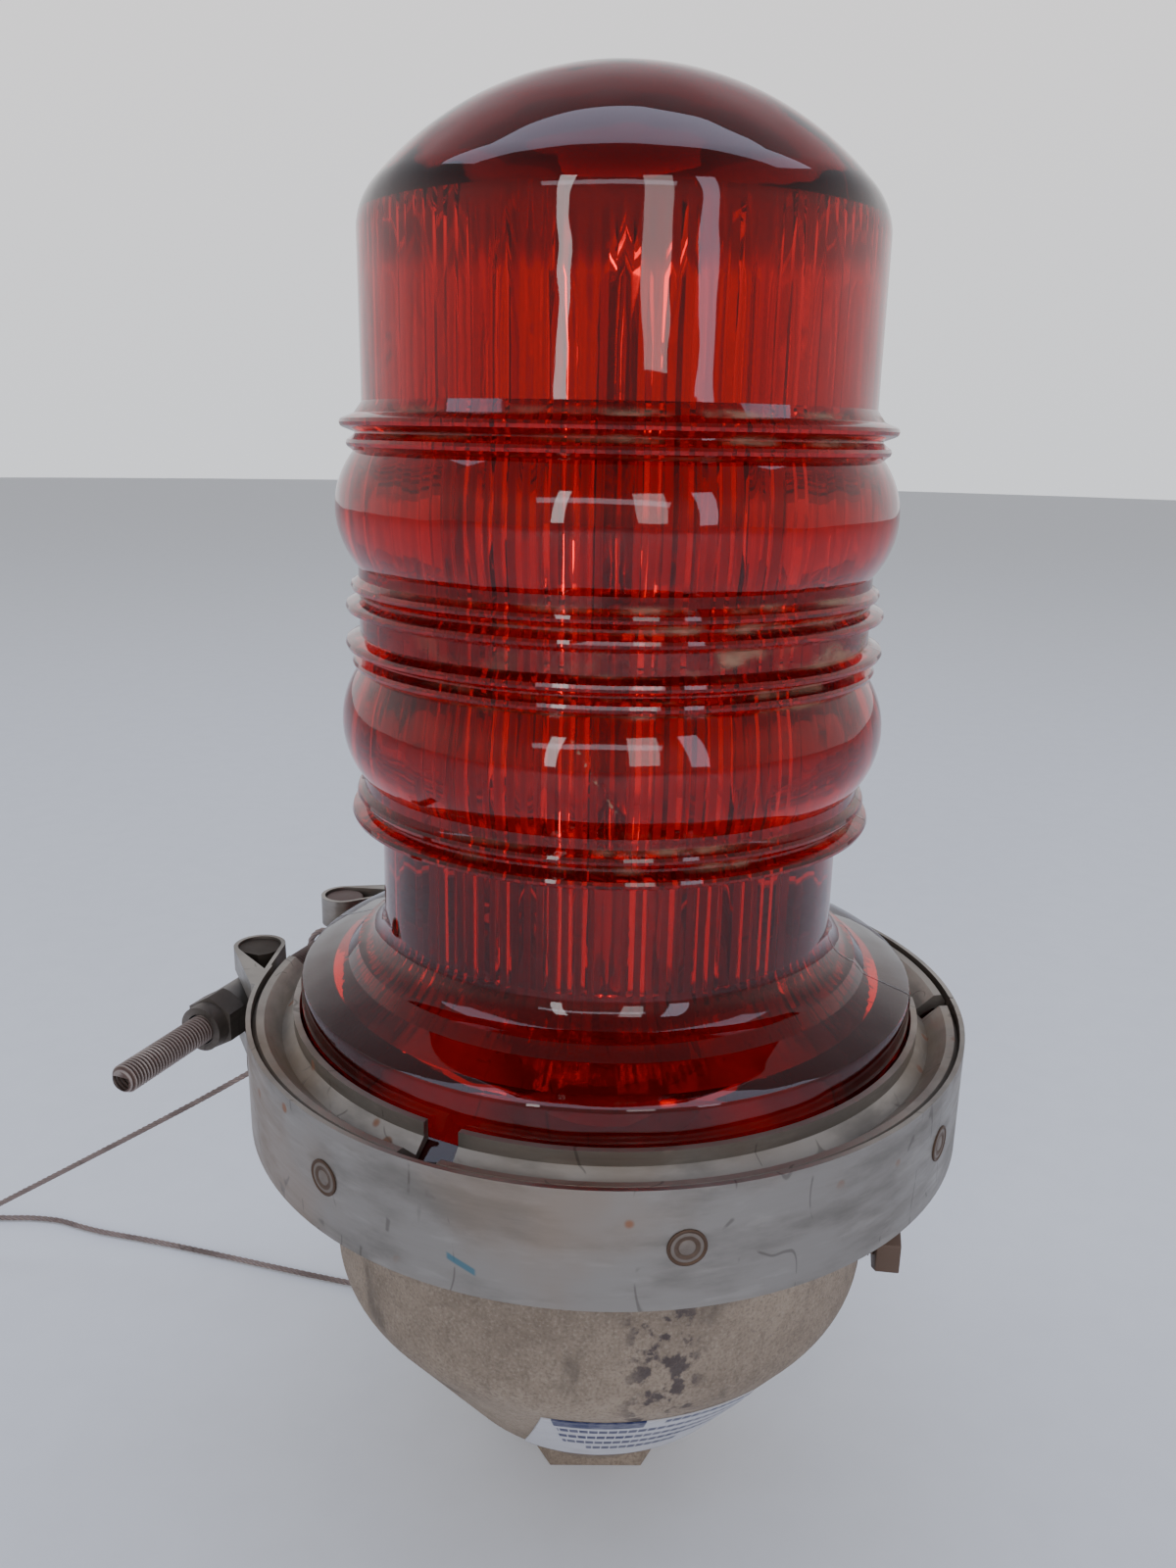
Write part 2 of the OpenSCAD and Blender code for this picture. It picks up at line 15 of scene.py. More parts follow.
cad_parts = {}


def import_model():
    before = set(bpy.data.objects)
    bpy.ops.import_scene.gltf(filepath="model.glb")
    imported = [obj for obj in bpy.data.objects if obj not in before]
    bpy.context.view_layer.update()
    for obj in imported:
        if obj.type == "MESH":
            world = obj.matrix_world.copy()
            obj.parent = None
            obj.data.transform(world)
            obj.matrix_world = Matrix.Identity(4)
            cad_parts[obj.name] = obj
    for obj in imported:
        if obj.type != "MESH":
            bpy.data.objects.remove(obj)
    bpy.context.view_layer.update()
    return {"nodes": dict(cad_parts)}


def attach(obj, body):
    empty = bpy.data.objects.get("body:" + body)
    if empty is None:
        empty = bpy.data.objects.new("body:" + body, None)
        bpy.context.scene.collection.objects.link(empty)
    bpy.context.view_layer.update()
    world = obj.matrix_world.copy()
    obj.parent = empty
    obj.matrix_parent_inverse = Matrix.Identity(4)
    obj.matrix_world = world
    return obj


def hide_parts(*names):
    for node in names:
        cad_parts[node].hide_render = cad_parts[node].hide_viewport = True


LOG = logging.getLogger("obstruction_light")
MM = 0.001
Pair = tuple[float, float]
Triple = tuple[float, float, float]
Number = Union["Field", float, int]


class Body(Enum):
    """The moving bodies that pieces ride on."""

    LIGHT = "light"
    CLAMP_ARM = "clamp_arm"
    BOLT = "bolt"


class Pick(Enum):
    """Which elements of a mesh an edit works on."""

    EDGES = "EDGE"
    FACES = "FACE"


# ---- Shading ----


class Field:
    """A number that varies over a surface. Maths on it adds Math nodes to its shader."""

    def __init__(self, shader: "Shader", socket: bpy.types.NodeSocket) -> None:
        """Wraps an output socket.

        Args:
            shader: the shader whose tree holds the socket.
            socket: the output that carries the number.
        """
        self.shader = shader
        self.socket = socket

    def _maths(self, operation: str, *values: Number) -> "Field":
        """Adds one Math node.

        Args:
            operation: the node's operation.
            values: its inputs in order.

        Returns:
            The result as a field.
        """
        node = self.shader.node(
            "ShaderNodeMath", {"operation": operation}, dict(enumerate(values))
        )
        return Field(self.shader, node.outputs[0])

    def __add__(self, other: Number) -> "Field":
        """Sum."""
        return self._maths("ADD", self, other)

    def __sub__(self, other: Number) -> "Field":
        """Difference."""
        return self._maths("SUBTRACT", self, other)

    def __rsub__(self, other: Number) -> "Field":
        """Difference, reflected."""
        return self._maths("SUBTRACT", other, self)

    def __mul__(self, other: Number) -> "Field":
        """Product."""
        return self._maths("MULTIPLY", self, other)

    __radd__ = __add__
    __rmul__ = __mul__

    def __pow__(self, other: Number) -> "Field":
        """Power."""
        return self._maths("POWER", self, other)

    def sine(self) -> "Field":
        """Sine of the field, in radians."""
        return self._maths("SINE", self)

    def least(self, other: Number) -> "Field":
        """The smaller of two values."""
        return self._maths("MINIMUM", self, other)

    def most(self, other: Number) -> "Field":
        """The larger of two values."""
        return self._maths("MAXIMUM", self, other)

    def away(self) -> "Field":
        """Distance from zero."""
        return self._maths("ABSOLUTE", self)

    def rise(self, low: float, high: float) -> "Field":
        """Smooth step.

        Args:
            low: the value where the step starts at 0.
            high: the value where it reaches 1; below low for a falling step.

        Returns:
            The step, from 0 to 1.
        """
        flip = high < low
        node = self.shader.node(
            "ShaderNodeMapRange",
            {"interpolation_type": "SMOOTHSTEP"},
            {"Value": self, "From Min": min(low, high), "From Max": max(low, high),
             "To Min": 1.0 if flip else 0.0, "To Max": 0.0 if flip else 1.0},
        )
        return Field(self.shader, node.outputs[0])

    def inside(self, low: float, high: float, soft: float) -> "Field":
        """1 between two values and 0 outside, with soft edges.

        Args:
            low: lower edge.
            high: upper edge.
            soft: width of each edge.

        Returns:
            The mask.
        """
        return self.rise(low - soft, low) * self.rise(high + soft, high)


class Shader:
    """One material's node tree, on the piece's own object coordinates."""

    def __init__(self, name: str) -> None:
        """Makes an empty material.

        Args:
            name: the material's name.
        """
        self.material = bpy.data.materials.new(name)
        self.material.use_nodes = True
        self.tree = self.material.node_tree
        self.tree.nodes.clear()
        self._place: bpy.types.Node | None = None
        self._axes: bpy.types.Node | None = None

    def node(self, kind: str, settings: dict[str, Any], values: dict[Any, Any]) -> bpy.types.Node:
        """Adds a node, sets it up and fills its inputs.

        Args:
            kind: the node's type.
            settings: properties, set first. "stops" holds a ramp's (position, colour) pairs.
            values: inputs by name or number: a number, colour, Field or output socket.

        Returns:
            The node.
        """
        made = self.tree.nodes.new(kind)
        for key, value in settings.items():
            if key == "stops":
                self.fill_ramp(made, value)
            else:
                setattr(made, key, value)
        for key, value in values.items():
            socket = made.inputs[key]
            if isinstance(value, Field):
                self.tree.links.new(value.socket, socket)
            elif isinstance(value, bpy.types.NodeSocket):
                self.tree.links.new(value, socket)
            elif socket.type == "RGBA" and len(value) == 3:
                socket.default_value = (*value, 1.0)
            else:
                socket.default_value = value
        return made

    @staticmethod
    def fill_ramp(node: bpy.types.Node, stops: Sequence[tuple[float, tuple]]) -> None:
        """Sets a ramp's stops.

        Args:
            node: the ramp node.
            stops: (position, colour) pairs in order.
        """
        ramp = node.color_ramp
        while len(ramp.elements) < len(stops):
            ramp.elements.new(0.5)
        for element, (position, colour) in zip(ramp.elements, stops):
            element.position = position
            element.color = colour

    def place(self) -> bpy.types.NodeSocket:
        """Object coordinates, in metres."""
        if self._place is None:
            self._place = self.node("ShaderNodeTexCoord", {}, {})
        return self._place.outputs["Object"]

    def axis(self, name: str) -> Field:
        """One object coordinate.

        Args:
            name: X, Y or Z.

        Returns:
            Its value in millimetres.
        """
        if self._axes is None:
            self._axes = self.node("ShaderNodeSeparateXYZ", {}, {"Vector": self.place()})
        return Field(self, self._axes.outputs[name]) * (1 / MM)

    def turn(self) -> Field:
        """Direction round the globe's axis, in degrees from -180 to 180."""
        angle = self.node(
            "ShaderNodeMath", {"operation": "ARCTAN2"}, {0: self.axis("Y"), 1: self.axis("X")}
        )
        return Field(self, angle.outputs[0]) * math.degrees(1)

    def mark(self, name: str) -> Field:
        """A number that the piece's mesh holds at each point.

        Args:
            name: the attribute's name.

        Returns:
            The number as a field.
        """
        made = self.node("ShaderNodeAttribute", {"attribute_name": name}, {})
        return Field(self, made.outputs["Fac"])

    def noise(self, per_mm: float, detail: float = 3.0, stretch: Triple = (1, 1, 1),
              shift: float = 0.0) -> Field:
        """Noise in the piece's own space.

        Args:
            per_mm: lumps in a millimetre.
            detail: octaves.
            stretch: scale of each axis.
            shift: moves the pattern, so that two noises differ.

        Returns:
            The noise, about 0.5.
        """
        moved = self.node(
            "ShaderNodeMapping", {}, {"Vector": self.place(), "Location": (shift, shift, shift),
                                      "Scale": stretch},
        )
        made = self.node(
            "ShaderNodeTexNoise", {"noise_dimensions": "3D"},
            {"Vector": moved.outputs[0], "Scale": per_mm / MM, "Detail": detail,
             "Roughness": 0.55},
        )
        return Field(self, made.outputs[0])

    def spots(self, per_mm: float, size: float) -> Field:
        """Scattered round spots.

        Args:
            per_mm: cells in a millimetre.
            size: a spot's radius, as a share of its cell.

        Returns:
            1 in a spot and 0 outside.
        """
        made = self.node(
            "ShaderNodeTexVoronoi", {"feature": "F1"},
            {"Vector": self.place(), "Scale": per_mm / MM},
        )
        return Field(self, made.outputs["Distance"]).rise(size, size * 0.55)

    def blend(self, share: Number, first: Any, second: Any) -> bpy.types.NodeSocket:
        """Mixes two colours.

        Args:
            share: 0 for the first, 1 for the second.
            first: colour or socket.
            second: colour or socket.

        Returns:
            The colour socket.
        """
        made = self.node("ShaderNodeMix", {"data_type": "RGBA", "blend_type": "MIX"},
                         {0: share, 6: first, 7: second})
        return made.outputs[2]

    def layers(self, base: Any, *stains: tuple[Field, Any]) -> bpy.types.NodeSocket:
        """Lays stains over a colour, one after another.

        Args:
            base: colour or socket.
            stains: (share, colour) pairs.

        Returns:
            The colour socket.
        """
        for share, colour in stains:
            base = self.blend(share, base, colour)
        return base

    def bump(self, height: Field, depth_mm: float, strength: float = 1.0,
             under: bpy.types.NodeSocket | None = None) -> bpy.types.NodeSocket:
        """Adds a bump.

        Args:
            height: from 0 to 1.
            depth_mm: height of 1, in millimetres.
            strength: how strongly it shades.
            under: an earlier bump's normal.

        Returns:
            The normal socket.
        """
        values: dict[str, Any] = {"Height": height, "Distance": depth_mm * MM,
                                  "Strength": strength}
        if under is not None:
            values["Normal"] = under
        return self.node("ShaderNodeBump", {}, values).outputs[0]

    def surface(self, **values: Any) -> bpy.types.NodeSocket:
        """Adds a Principled shader.

        Args:
            values: its inputs, with underscores for spaces.

        Returns:
            The shader's output.
        """
        named = {key.replace("_", " "): value for key, value in values.items()}
        return self.node("ShaderNodeBsdfPrincipled", {}, named).outputs[0]

    def close(self, shader: bpy.types.NodeSocket) -> bpy.types.Material:
        """Links the shader to the output.

        Args:
            shader: the last shader's output.

        Returns:
            The material.
        """
        self.node("ShaderNodeOutputMaterial", {}, {"Surface": shader})
        return self.material


def scaled(colour: Triple, share: float) -> Triple:
    """A colour made darker or lighter.

    Args:
        colour: the colour.
        share: below 1 for darker, above 1 for lighter.

    Returns:
        The new colour.
    """
    return tuple(part * share for part in colour)


class Finish:
    """A finish: makes its material once and dresses objects in it."""

    label: str

    def paint(self, shader: Shader) -> bpy.types.NodeSocket:
        """Builds the shader.

        Args:
            shader: the empty tree to fill.

        Returns:
            The shader's output.
        """
        raise NotImplementedError

    def material(self) -> bpy.types.Material:
        """The finish's material, made at its first use."""
        name = f"look_{self.label}"
        found = bpy.data.materials.get(name)
        if found is not None:
            return found
        shader = Shader(name)
        return shader.close(self.paint(shader))

    def dress(self, piece: bpy.types.Object) -> bpy.types.Object:
        """Gives a piece this finish all over.

        Args:
            piece: the piece.

        Returns:
            The same piece.
        """
        piece.data.materials.clear()
        piece.data.materials.append(self.material())
        return piece


@dataclass(frozen=True)
class RedGlass(Finish):
    """Deep red pressed glass with dust in its grooves, scuffs, a mould seam, and painted shade: a
    darker dome and dark lines along the inner flutes.
    """

    label: str = "red_pressed_glass"
    red: Triple = (0.58, 0.0005, 0.0004)
    # deep: the darker red used as painted shade on the dome and along the inner flutes.
    deep: Triple = (0.19, 0.0004, 0.0012)
    shadow: Triple = (0.45, 0.003, 0.002)
    dust: Triple = (0.30, 0.20, 0.13)
    seams: Pair = (-17.0, 163.0)
    seam_foot: float = 118.0
    dome: Pair = (264.0, 272.0)
    flutes: Pair = (128.0, 264.0)
    flutes_r: float = 47.2
    grooves: tuple[Pair, ...] = ((155.0, 162.5), (186.5, 204.0), (228.5, 235.0))
    grooves_r: float = 52.2

    def paint(self, shader: Shader) -> bpy.types.NodeSocket:
        """Glass that lets lamps through, under a thin layer of dust."""
        z, turn, radius = shader.axis("Z"), shader.turn(), self._radius(shader)
        seam = sum((turn - at).away().rise(0.45, 0.1) for at in self.seams)
        seam = seam * z.rise(self.seam_foot, self.seam_foot + 2.0)
        waves = shader.bump(shader.noise(0.035, 2.0), 1.6, 0.35)
        normal = shader.bump(seam, 0.35, 0.6, waves)
        # Painted shade: the deeper red darkens the dome's top and draws dark lines along the inner
        # flutes.
        flute_painted_shade = ((turn * math.radians(120.0)).sine() + 0.5 * (turn * 0.71).sine()).rise(-0.2, 1.1)
        flute_painted_shade = flute_painted_shade * radius.rise(self.flutes_r, self.flutes_r - 0.8)
        flute_painted_shade = flute_painted_shade * z.inside(*self.flutes, 3.0)
        glass = shader.surface(
            Base_Color=shader.blend((z.rise(*self.dome) + flute_painted_shade * 0.75).least(1.0),
                                    self.red, self.deep),
            Roughness=0.015 + 0.05 * shader.noise(0.06, 4.0).rise(0.5, 0.8),
            IOR=1.42, Transmission_Weight=0.97, Normal=normal)
        ray = shader.node("ShaderNodeLightPath", {}, {}).outputs["Is Shadow Ray"]
        clear = shader.node("ShaderNodeBsdfTransparent", {}, {"Color": self.shadow}).outputs[0]
        lit = shader.node("ShaderNodeMixShader", {}, {0: ray, 1: glass, 2: clear}).outputs[0]
        film = shader.surface(Base_Color=self.dust, Roughness=0.9)
        cover = self._grooves(radius, z) * shader.noise(0.09, 5.0, (1, 1, 2.5)).rise(0.42, 0.7)
        cover = (cover * (0.2 + 0.5 * turn.inside(-75.0, 60.0, 30.0))).most(self._scuffs(shader))
        return shader.node("ShaderNodeMixShader", {}, {0: cover, 1: lit, 2: film}).outputs[0]

    def _grooves(self, radius: Field, z: Field) -> Field:
        """Mask of the grooves beside the rings.

        Args:
            radius: distance from the axis, in millimetres.
            z: height in millimetres.

        Returns:
            The mask.
        """
        low = radius.rise(self.grooves_r, self.grooves_r - 1.0)
        return (low * sum(z.inside(*span, 1.0) for span in self.grooves)).least(1.0)

    @staticmethod
    def _radius(shader: Shader) -> Field:
        """Distance from the globe's axis, in millimetres."""
        x, y = shader.axis("X"), shader.axis("Y")
        return (x * x + y * y) ** 0.5

    @staticmethod
    def _scuffs(shader: Shader) -> Field:
        """A few pale scratches across the lower belt.

        Args:
            shader: the shader.

        Returns:
            The mask.
        """
        x, z = shader.axis("X"), shader.axis("Z")
        line = (x + 0.62 * (z - 176.0) + 3.5 + 1.2 * shader.noise(0.2, 2.0)).away()
        where = z.inside(170.0, 182.0, 1.0) * shader.axis("Y").rise(-40.0, -50.0)
        return line.rise(0.5, 0.1) * where * shader.noise(0.9, 2.0).rise(0.5, 0.6) * 0.5


@dataclass(frozen=True)
class WornSteel(Finish):
    """Satin stainless steel with rolling marks, smudges, brown tint and rust specks."""

    label: str
    tone: Triple = (0.36, 0.355, 0.35)
    tint: Triple = (0.30, 0.22, 0.16)
    tinted: float = 0.3
    rust: float = 0.5
    roughness: float = 0.36
    mark: bool = False
    rusty: Triple = (0.23, 0.09, 0.04)
    scratched: Triple = (0.09, 0.075, 0.065)
    paint_trace: Triple = (0.03, 0.16, 0.22)

    def paint(self, shader: Shader) -> bpy.types.NodeSocket:
        """Metal whose marks run round the strap."""
        marks = shader.noise(1.6, 3.0, (0.06, 0.06, 1.0))
        smudge = shader.noise(0.09, 6.0, (0.5, 0.5, 1.5), 0.31)
        rubs = shader.noise(0.35, 3.0, (0.25, 0.25, 1.0), 0.11).rise(0.56, 0.72)
        patch = shader.noise(0.02, 4.0, shift=0.77).rise(0.48, 0.72)
        specks = shader.spots(0.12, 0.16) * shader.noise(0.03, 2.0, shift=0.5).rise(0.52, 0.6)
        scratch = (shader.noise(0.1, 1.0, (1.0, 1.0, 0.35), 0.9) - 0.5).away().rise(0.014, 0.004)
        scratch = scratch * shader.noise(0.14, 2.0, shift=0.66).rise(0.53, 0.6)
        colour = shader.layers(
            self.tone, (smudge.rise(0.4, 0.7) * 0.55, scaled(self.tone, 0.5)),
            (rubs * 0.35, scaled(self.tone, 1.35)), (patch * self.tinted, self.tint),
            (specks * self.rust, self.rusty), (scratch * 0.5, self.scratched))
        if self.mark:
            colour = shader.blend(self._streak(shader) * 0.7, colour, self.paint_trace)
        rough = self.roughness + 0.26 * smudge.rise(0.3, 0.75) + 0.2 * (marks - 0.5)
        normal = shader.bump(marks, 0.02, 0.35)
        normal = shader.bump(shader.noise(0.06, 2.0, shift=0.2), 0.35, 0.35, normal)
        return shader.surface(Base_Color=colour, Roughness=rough + 0.3 * specks,
                              Metallic=1.0 - 0.8 * specks * self.rust, Normal=normal)

    @staticmethod
    def _streak(shader: Shader) -> Field:
        """A short blue-green paint streak on the front of the strap.

        Args:
            shader: the shader.

        Returns:
            The mask.
        """
        along = shader.turn() + 109.5
        line = (shader.axis("Z") - 96.2 + 0.55 * along).away().rise(0.9, 0.4)
        return line * along.inside(-1.7, 1.7, 0.5) * shader.axis("Y").rise(-50.0, -60.0)


@dataclass(frozen=True)
class SandCast(Finish):
    """Weathered sand-cast alloy: grain, dark stains and a rusty tint below the clamp."""

    label: str = "weathered_casting"
    pale: Triple = (0.35, 0.28, 0.215)
    deep: Triple = (0.20, 0.155, 0.118)
    light_grain: Triple = (0.44, 0.38, 0.31)
    dark_grain: Triple = (0.13, 0.10, 0.08)
    stained: Triple = (0.085, 0.065, 0.05)
    blotted: Triple = (0.045, 0.033, 0.04)
    rusty: Triple = (0.32, 0.15, 0.06)
    bowl: Pair = (26.0, 86.0)
    blots: Pair = (40.0, 74.0)
    blots_turn: float = -79.5
    under_clamp: Pair = (76.0, 90.0)

    def paint(self, shader: Shader) -> bpy.types.NodeSocket:
        """Matt metal oxide with grain at two scales."""
        z = shader.axis("Z")
        grain = shader.noise(1.5, 4.0)
        coarse = shader.noise(0.32, 4.0, shift=0.3)
        cloud = shader.noise(0.03, 4.0, shift=0.6)
        stain = shader.noise(0.07, 5.0, (1, 1, 0.45), 0.9).rise(0.56, 0.68)
        blot = shader.noise(0.28, 5.0, shift=0.45).rise(0.5, 0.6) * z.inside(*self.blots, 6.0)
        blot = blot * (shader.turn() - self.blots_turn).away().rise(10.0, 3.0)
        rust = z.rise(*self.under_clamp) * shader.noise(0.05, 3.0, shift=0.15).rise(0.35, 0.65)
        colour = shader.layers(
            self.pale,
            (cloud.rise(0.3, 0.7) * 0.75 + 0.25 * coarse.rise(0.35, 0.7), self.deep),
            (grain.rise(0.52, 0.72) * 0.35, self.light_grain),
            (grain.rise(0.5, 0.34) * 0.42, self.dark_grain),
            (stain * z.inside(*self.bowl, 8.0) * 0.75, self.stained),
            (blot * 0.8, self.blotted), (rust * 0.55, self.rusty))
        normal = shader.bump(coarse, 0.9, 0.6, shader.bump(grain, 0.55, 0.85))
        return shader.surface(Base_Color=colour, Roughness=0.72 + 0.2 * coarse,
                              Metallic=0.25 * (1.0 - stain), Normal=normal)


@dataclass(frozen=True)
class RatingFilm(Finish):
    """Generic white rating film: a dark block and thin plain lines, with no lettering."""

    label: str = "rating_film"
    ink: Triple = (0.012, 0.02, 0.09)
    white: Triple = (0.50, 0.50, 0.54)
    dirty: Triple = (0.40, 0.36, 0.32)
    middle: float = -80.0
    block: tuple[Pair, Pair] = ((43.6, 48.0), (-20.5, -1.5))
    rule: Pair = (21.0, 21.4)
    bars: tuple[Triple, ...] = ((46.0, 3.0, 30.0), (41.0, -20.0, 31.0), (36.6, -20.5, 27.0),
                                (32.4, -20.0, 22.0), (28.2, -14.0, 12.0))

    def paint(self, shader: Shader) -> bpy.types.NodeSocket:
        """Print laid out by height and by direction round the cone."""
        z = shader.axis("Z")
        along = shader.turn() - self.middle
        inked = z.inside(*self.block[0], 0.2) * along.inside(*self.block[1], 0.2)
        inked = inked + z.inside(*self.rule, 0.1)
        for height, left, right in self.bars:
            gaps = (along * (0.9 + height * 0.013)).sine().away().rise(0.12, 0.3)
            inked = inked + z.inside(height - 1.0, height + 1.0, 0.15) * gaps * along.inside(
                left, right, 0.3)
        worn = 0.8 + 0.2 * shader.noise(0.5, 4.0).rise(0.7, 0.4)
        dirt = shader.noise(0.09, 4.0, shift=0.4).rise(0.45, 0.75)
        colour = shader.layers(self.white, (dirt * 0.3, self.dirty),
                               (inked.least(1.0) * worn, self.ink))
        return shader.surface(Base_Color=colour, Roughness=0.35 + 0.3 * dirt,
                              Normal=shader.bump(shader.noise(0.25, 2.0), 0.08, 0.4))


@dataclass(frozen=True)
class Moulded(Finish):
    """Rubber, plastic, board or enamel: one colour with fine mottling."""

    label: str
    colour: Triple
    roughness: float = 0.5
    grain_per_mm: float = 0.8
    depth_mm: float = 0.03
    metallic: float = 0.0
    variety: float = 0.35

    def paint(self, shader: Shader) -> bpy.types.NodeSocket:
        """Mottled colour over a fine grain."""
        grain = shader.noise(self.grain_per_mm, 3.0)
        cloud = shader.noise(0.08, 3.0, shift=0.4).rise(0.3, 0.75)
        colour = shader.blend(cloud * self.variety, self.colour, scaled(self.colour, 0.6))
        return shader.surface(
            Base_Color=colour, Roughness=self.roughness + 0.15 * (grain - 0.5),
            Metallic=self.metallic, Normal=shader.bump(grain, self.depth_mm, 0.5),
        )


@dataclass(frozen=True)
class StainedShadedThread(Finish):
    """Bolt steel, browned in the thread's roots and worn grey on its crests; the dark root colour
    is also painted shade in the thread's grooves and on joined parts that carry no crest mark.
    """

    label: str = "thread_stain_and_painted_shade"
    crest: Triple = (0.46, 0.40, 0.37)
    root: Triple = (0.07, 0.034, 0.024)

    def paint(self, shader: Shader) -> bpy.types.NodeSocket:
        """Brown metal with grey patches."""
        patch = shader.noise(0.12, 4.0).rise(0.38, 0.66)
        fine = shader.noise(1.2, 3.0, shift=0.3)
        outer = shader.axis("Y").rise(6.0, -12.0)
        worn = shader.mark("crest").rise(0.3, 0.9) * (0.25 + 0.75 * outer) * (0.5 + 0.5 * patch)
        # Painted shade: the dark root colour fills the thread's grooves and the whole of a joined
        # part without a crest mark, such as the T-bolt's cross head inside the strap's loop.
        colour = shader.blend((worn + 0.12 * fine).least(1.0), self.root, self.crest)
        return shader.surface(
            Base_Color=colour, Roughness=0.42 + 0.3 * fine, Metallic=0.2 + 0.65 * worn,
            Normal=shader.bump(fine, 0.05, 0.5),
        )


@dataclass(frozen=True)
class HeatMarkedSteel(Finish):
    """A spot weld: brown rings from the heat round a paler middle."""

    label: str = "heat_marked_steel"
    pale: Triple = (0.215, 0.185, 0.16)
    brown: Triple = (0.10, 0.062, 0.042)

    def paint(self, shader: Shader) -> bpy.types.NodeSocket:
        """Rings by distance from the spot's middle."""
        spot = shader.mark("spot")
        fine = shader.noise(0.8, 3.0)
        ring = spot.inside(0.84, 1.0, 0.05) + spot.inside(0.44, 0.62, 0.06) * 0.7
        colour = shader.blend((ring + 0.35 * fine).least(1.0), self.pale, self.brown)
        return shader.surface(Base_Color=colour, Roughness=0.45 + 0.25 * fine, Metallic=0.8)


# ---- Modelling ----


class Bench:
    """The modelling moves that the sub-assemblies share."""

    @staticmethod
    def clear() -> None:
        """Leaves edit mode and deselects everything."""
        if bpy.context.object and bpy.context.object.mode != "OBJECT":
            bpy.ops.object.mode_set(mode="OBJECT")
        bpy.ops.object.select_all(action="DESELECT")

    @staticmethod
    def take(piece: bpy.types.Object) -> None:
        """Selects one piece alone and makes it active.

        Args:
            piece: the piece.
        """
        Bench.clear()
        piece.select_set(True)
        bpy.context.view_layer.objects.active = piece

    @staticmethod
    def edit(piece: bpy.types.Object) -> None:
        """Enters edit mode with the whole of a piece selected.

        Args:
            piece: the piece.
        """
        Bench.take(piece)
        bpy.ops.object.mode_set(mode="EDIT")
        bpy.ops.mesh.select_all(action="SELECT")

    @staticmethod
    def named(name: str) -> bpy.types.Object:
        """Names the primitive just added, and its mesh.

        Args:
            name: the piece's name.

        Returns:
            The piece.
        """
        piece = bpy.context.object
        piece.name = name
        piece.data.name = name
        return piece

    @staticmethod
    def outline(name: str, points: Sequence[Pair], closed: bool) -> bpy.types.Object:
        """A circle whose points are moved to an outline in the XZ plane.

        Args:
            name: the piece's name.
            points: (radius, height) pairs in millimetres.
            closed: whether the last point joins the first.

        Returns:
            The outline as an object of edges.
        """
        Bench.clear()
        bpy.ops.mesh.primitive_circle_add(vertices=len(points), radius=MM, fill_type="NOTHING")
        piece = Bench.named(name)
        for vertex, (radius, height) in zip(piece.data.vertices, points):
            vertex.co = (radius * MM, 0.0, height * MM)
        if not closed:
            last = {0, len(points) - 1}
            Bench.pick(piece, Pick.EDGES, lambda edge: set(edge.vertices) == last)
            bpy.ops.mesh.delete(type="EDGE")
            Bench.clear()
        return piece

    @staticmethod
    def pick(piece: bpy.types.Object, kind: Pick, test: Callable[[Any], bool]) -> None:
        """Enters edit mode with the elements that pass a test selected.

        Args:
            piece: the piece.
            kind: what is tested.
            test: takes an edge or polygon.
        """
        Bench.take(piece)
        bpy.ops.object.mode_set(mode="EDIT")
        bpy.ops.mesh.select_mode(type=kind.value)
        bpy.ops.mesh.select_all(action="DESELECT")
        bpy.ops.object.mode_set(mode="OBJECT")
        mesh = piece.data
        for element in mesh.edges if kind is Pick.EDGES else mesh.polygons:
            if test(element):
                element.select = True
        bpy.ops.object.mode_set(mode="EDIT")

    @staticmethod
    def revolve(piece: bpy.types.Object, steps: int) -> bpy.types.Object:
        """Spins an outline once round the Z axis and closes it.

        Args:
            piece: the outline.
            steps: faces round the turn.

        Returns:
            The solid of revolution.
        """
        Bench.edit(piece)
        bpy.ops.mesh.spin(steps=steps, angle=2 * math.pi, center=(0, 0, 0), axis=(0, 0, 1))
        bpy.ops.mesh.select_all(action="SELECT")
        bpy.ops.mesh.remove_doubles(threshold=1e-6)
        bpy.ops.mesh.normals_make_consistent(inside=False)
        Bench.clear()
        return piece

    @staticmethod
    def apply(piece: bpy.types.Object, kind: str, **settings: Any) -> bpy.types.Object:
        """Adds a modifier and applies it.

        Args:
            piece: the piece.
            kind: the modifier's type.
            settings: its properties.

        Returns:
            The piece.
        """
        Bench.take(piece)
        modifier = piece.modifiers.new(kind.lower(), kind)
        for key, value in settings.items():
            setattr(modifier, key, value)
        bpy.ops.object.modifier_apply(modifier=modifier.name)
        return piece

    @staticmethod
    def settle(piece: bpy.types.Object, place: Matrix | None = None,
               angle: float = 35.0) -> bpy.types.Object:
        """Puts a piece in place, keeps the place in its mesh and smooths it.

        Args:
            piece: the piece.
            place: where it goes, in the row frame.
            angle: edges sharper than this stay sharp, in degrees.

        Returns:
            The piece.
        """
        Bench.take(piece)
        if place is not None:
            piece.matrix_world = place @ piece.matrix_world
        bpy.ops.object.transform_apply(location=True, rotation=True, scale=True)
        bpy.ops.object.shade_smooth_by_angle(angle=math.radians(angle))
        return piece

    @staticmethod
    def mark(piece: bpy.types.Object, name: str, measure: Callable[[Vector], float]) -> None:
        """Writes a number at each point of a piece, for its finish to read.

        Args:
            piece: the piece.
            name: the attribute's name.
            measure: takes a point and gives its number.
        """
        values = piece.data.attributes.new(name, "FLOAT", "POINT")
        values.data.foreach_set("value", [measure(v.co) for v in piece.data.vertices])

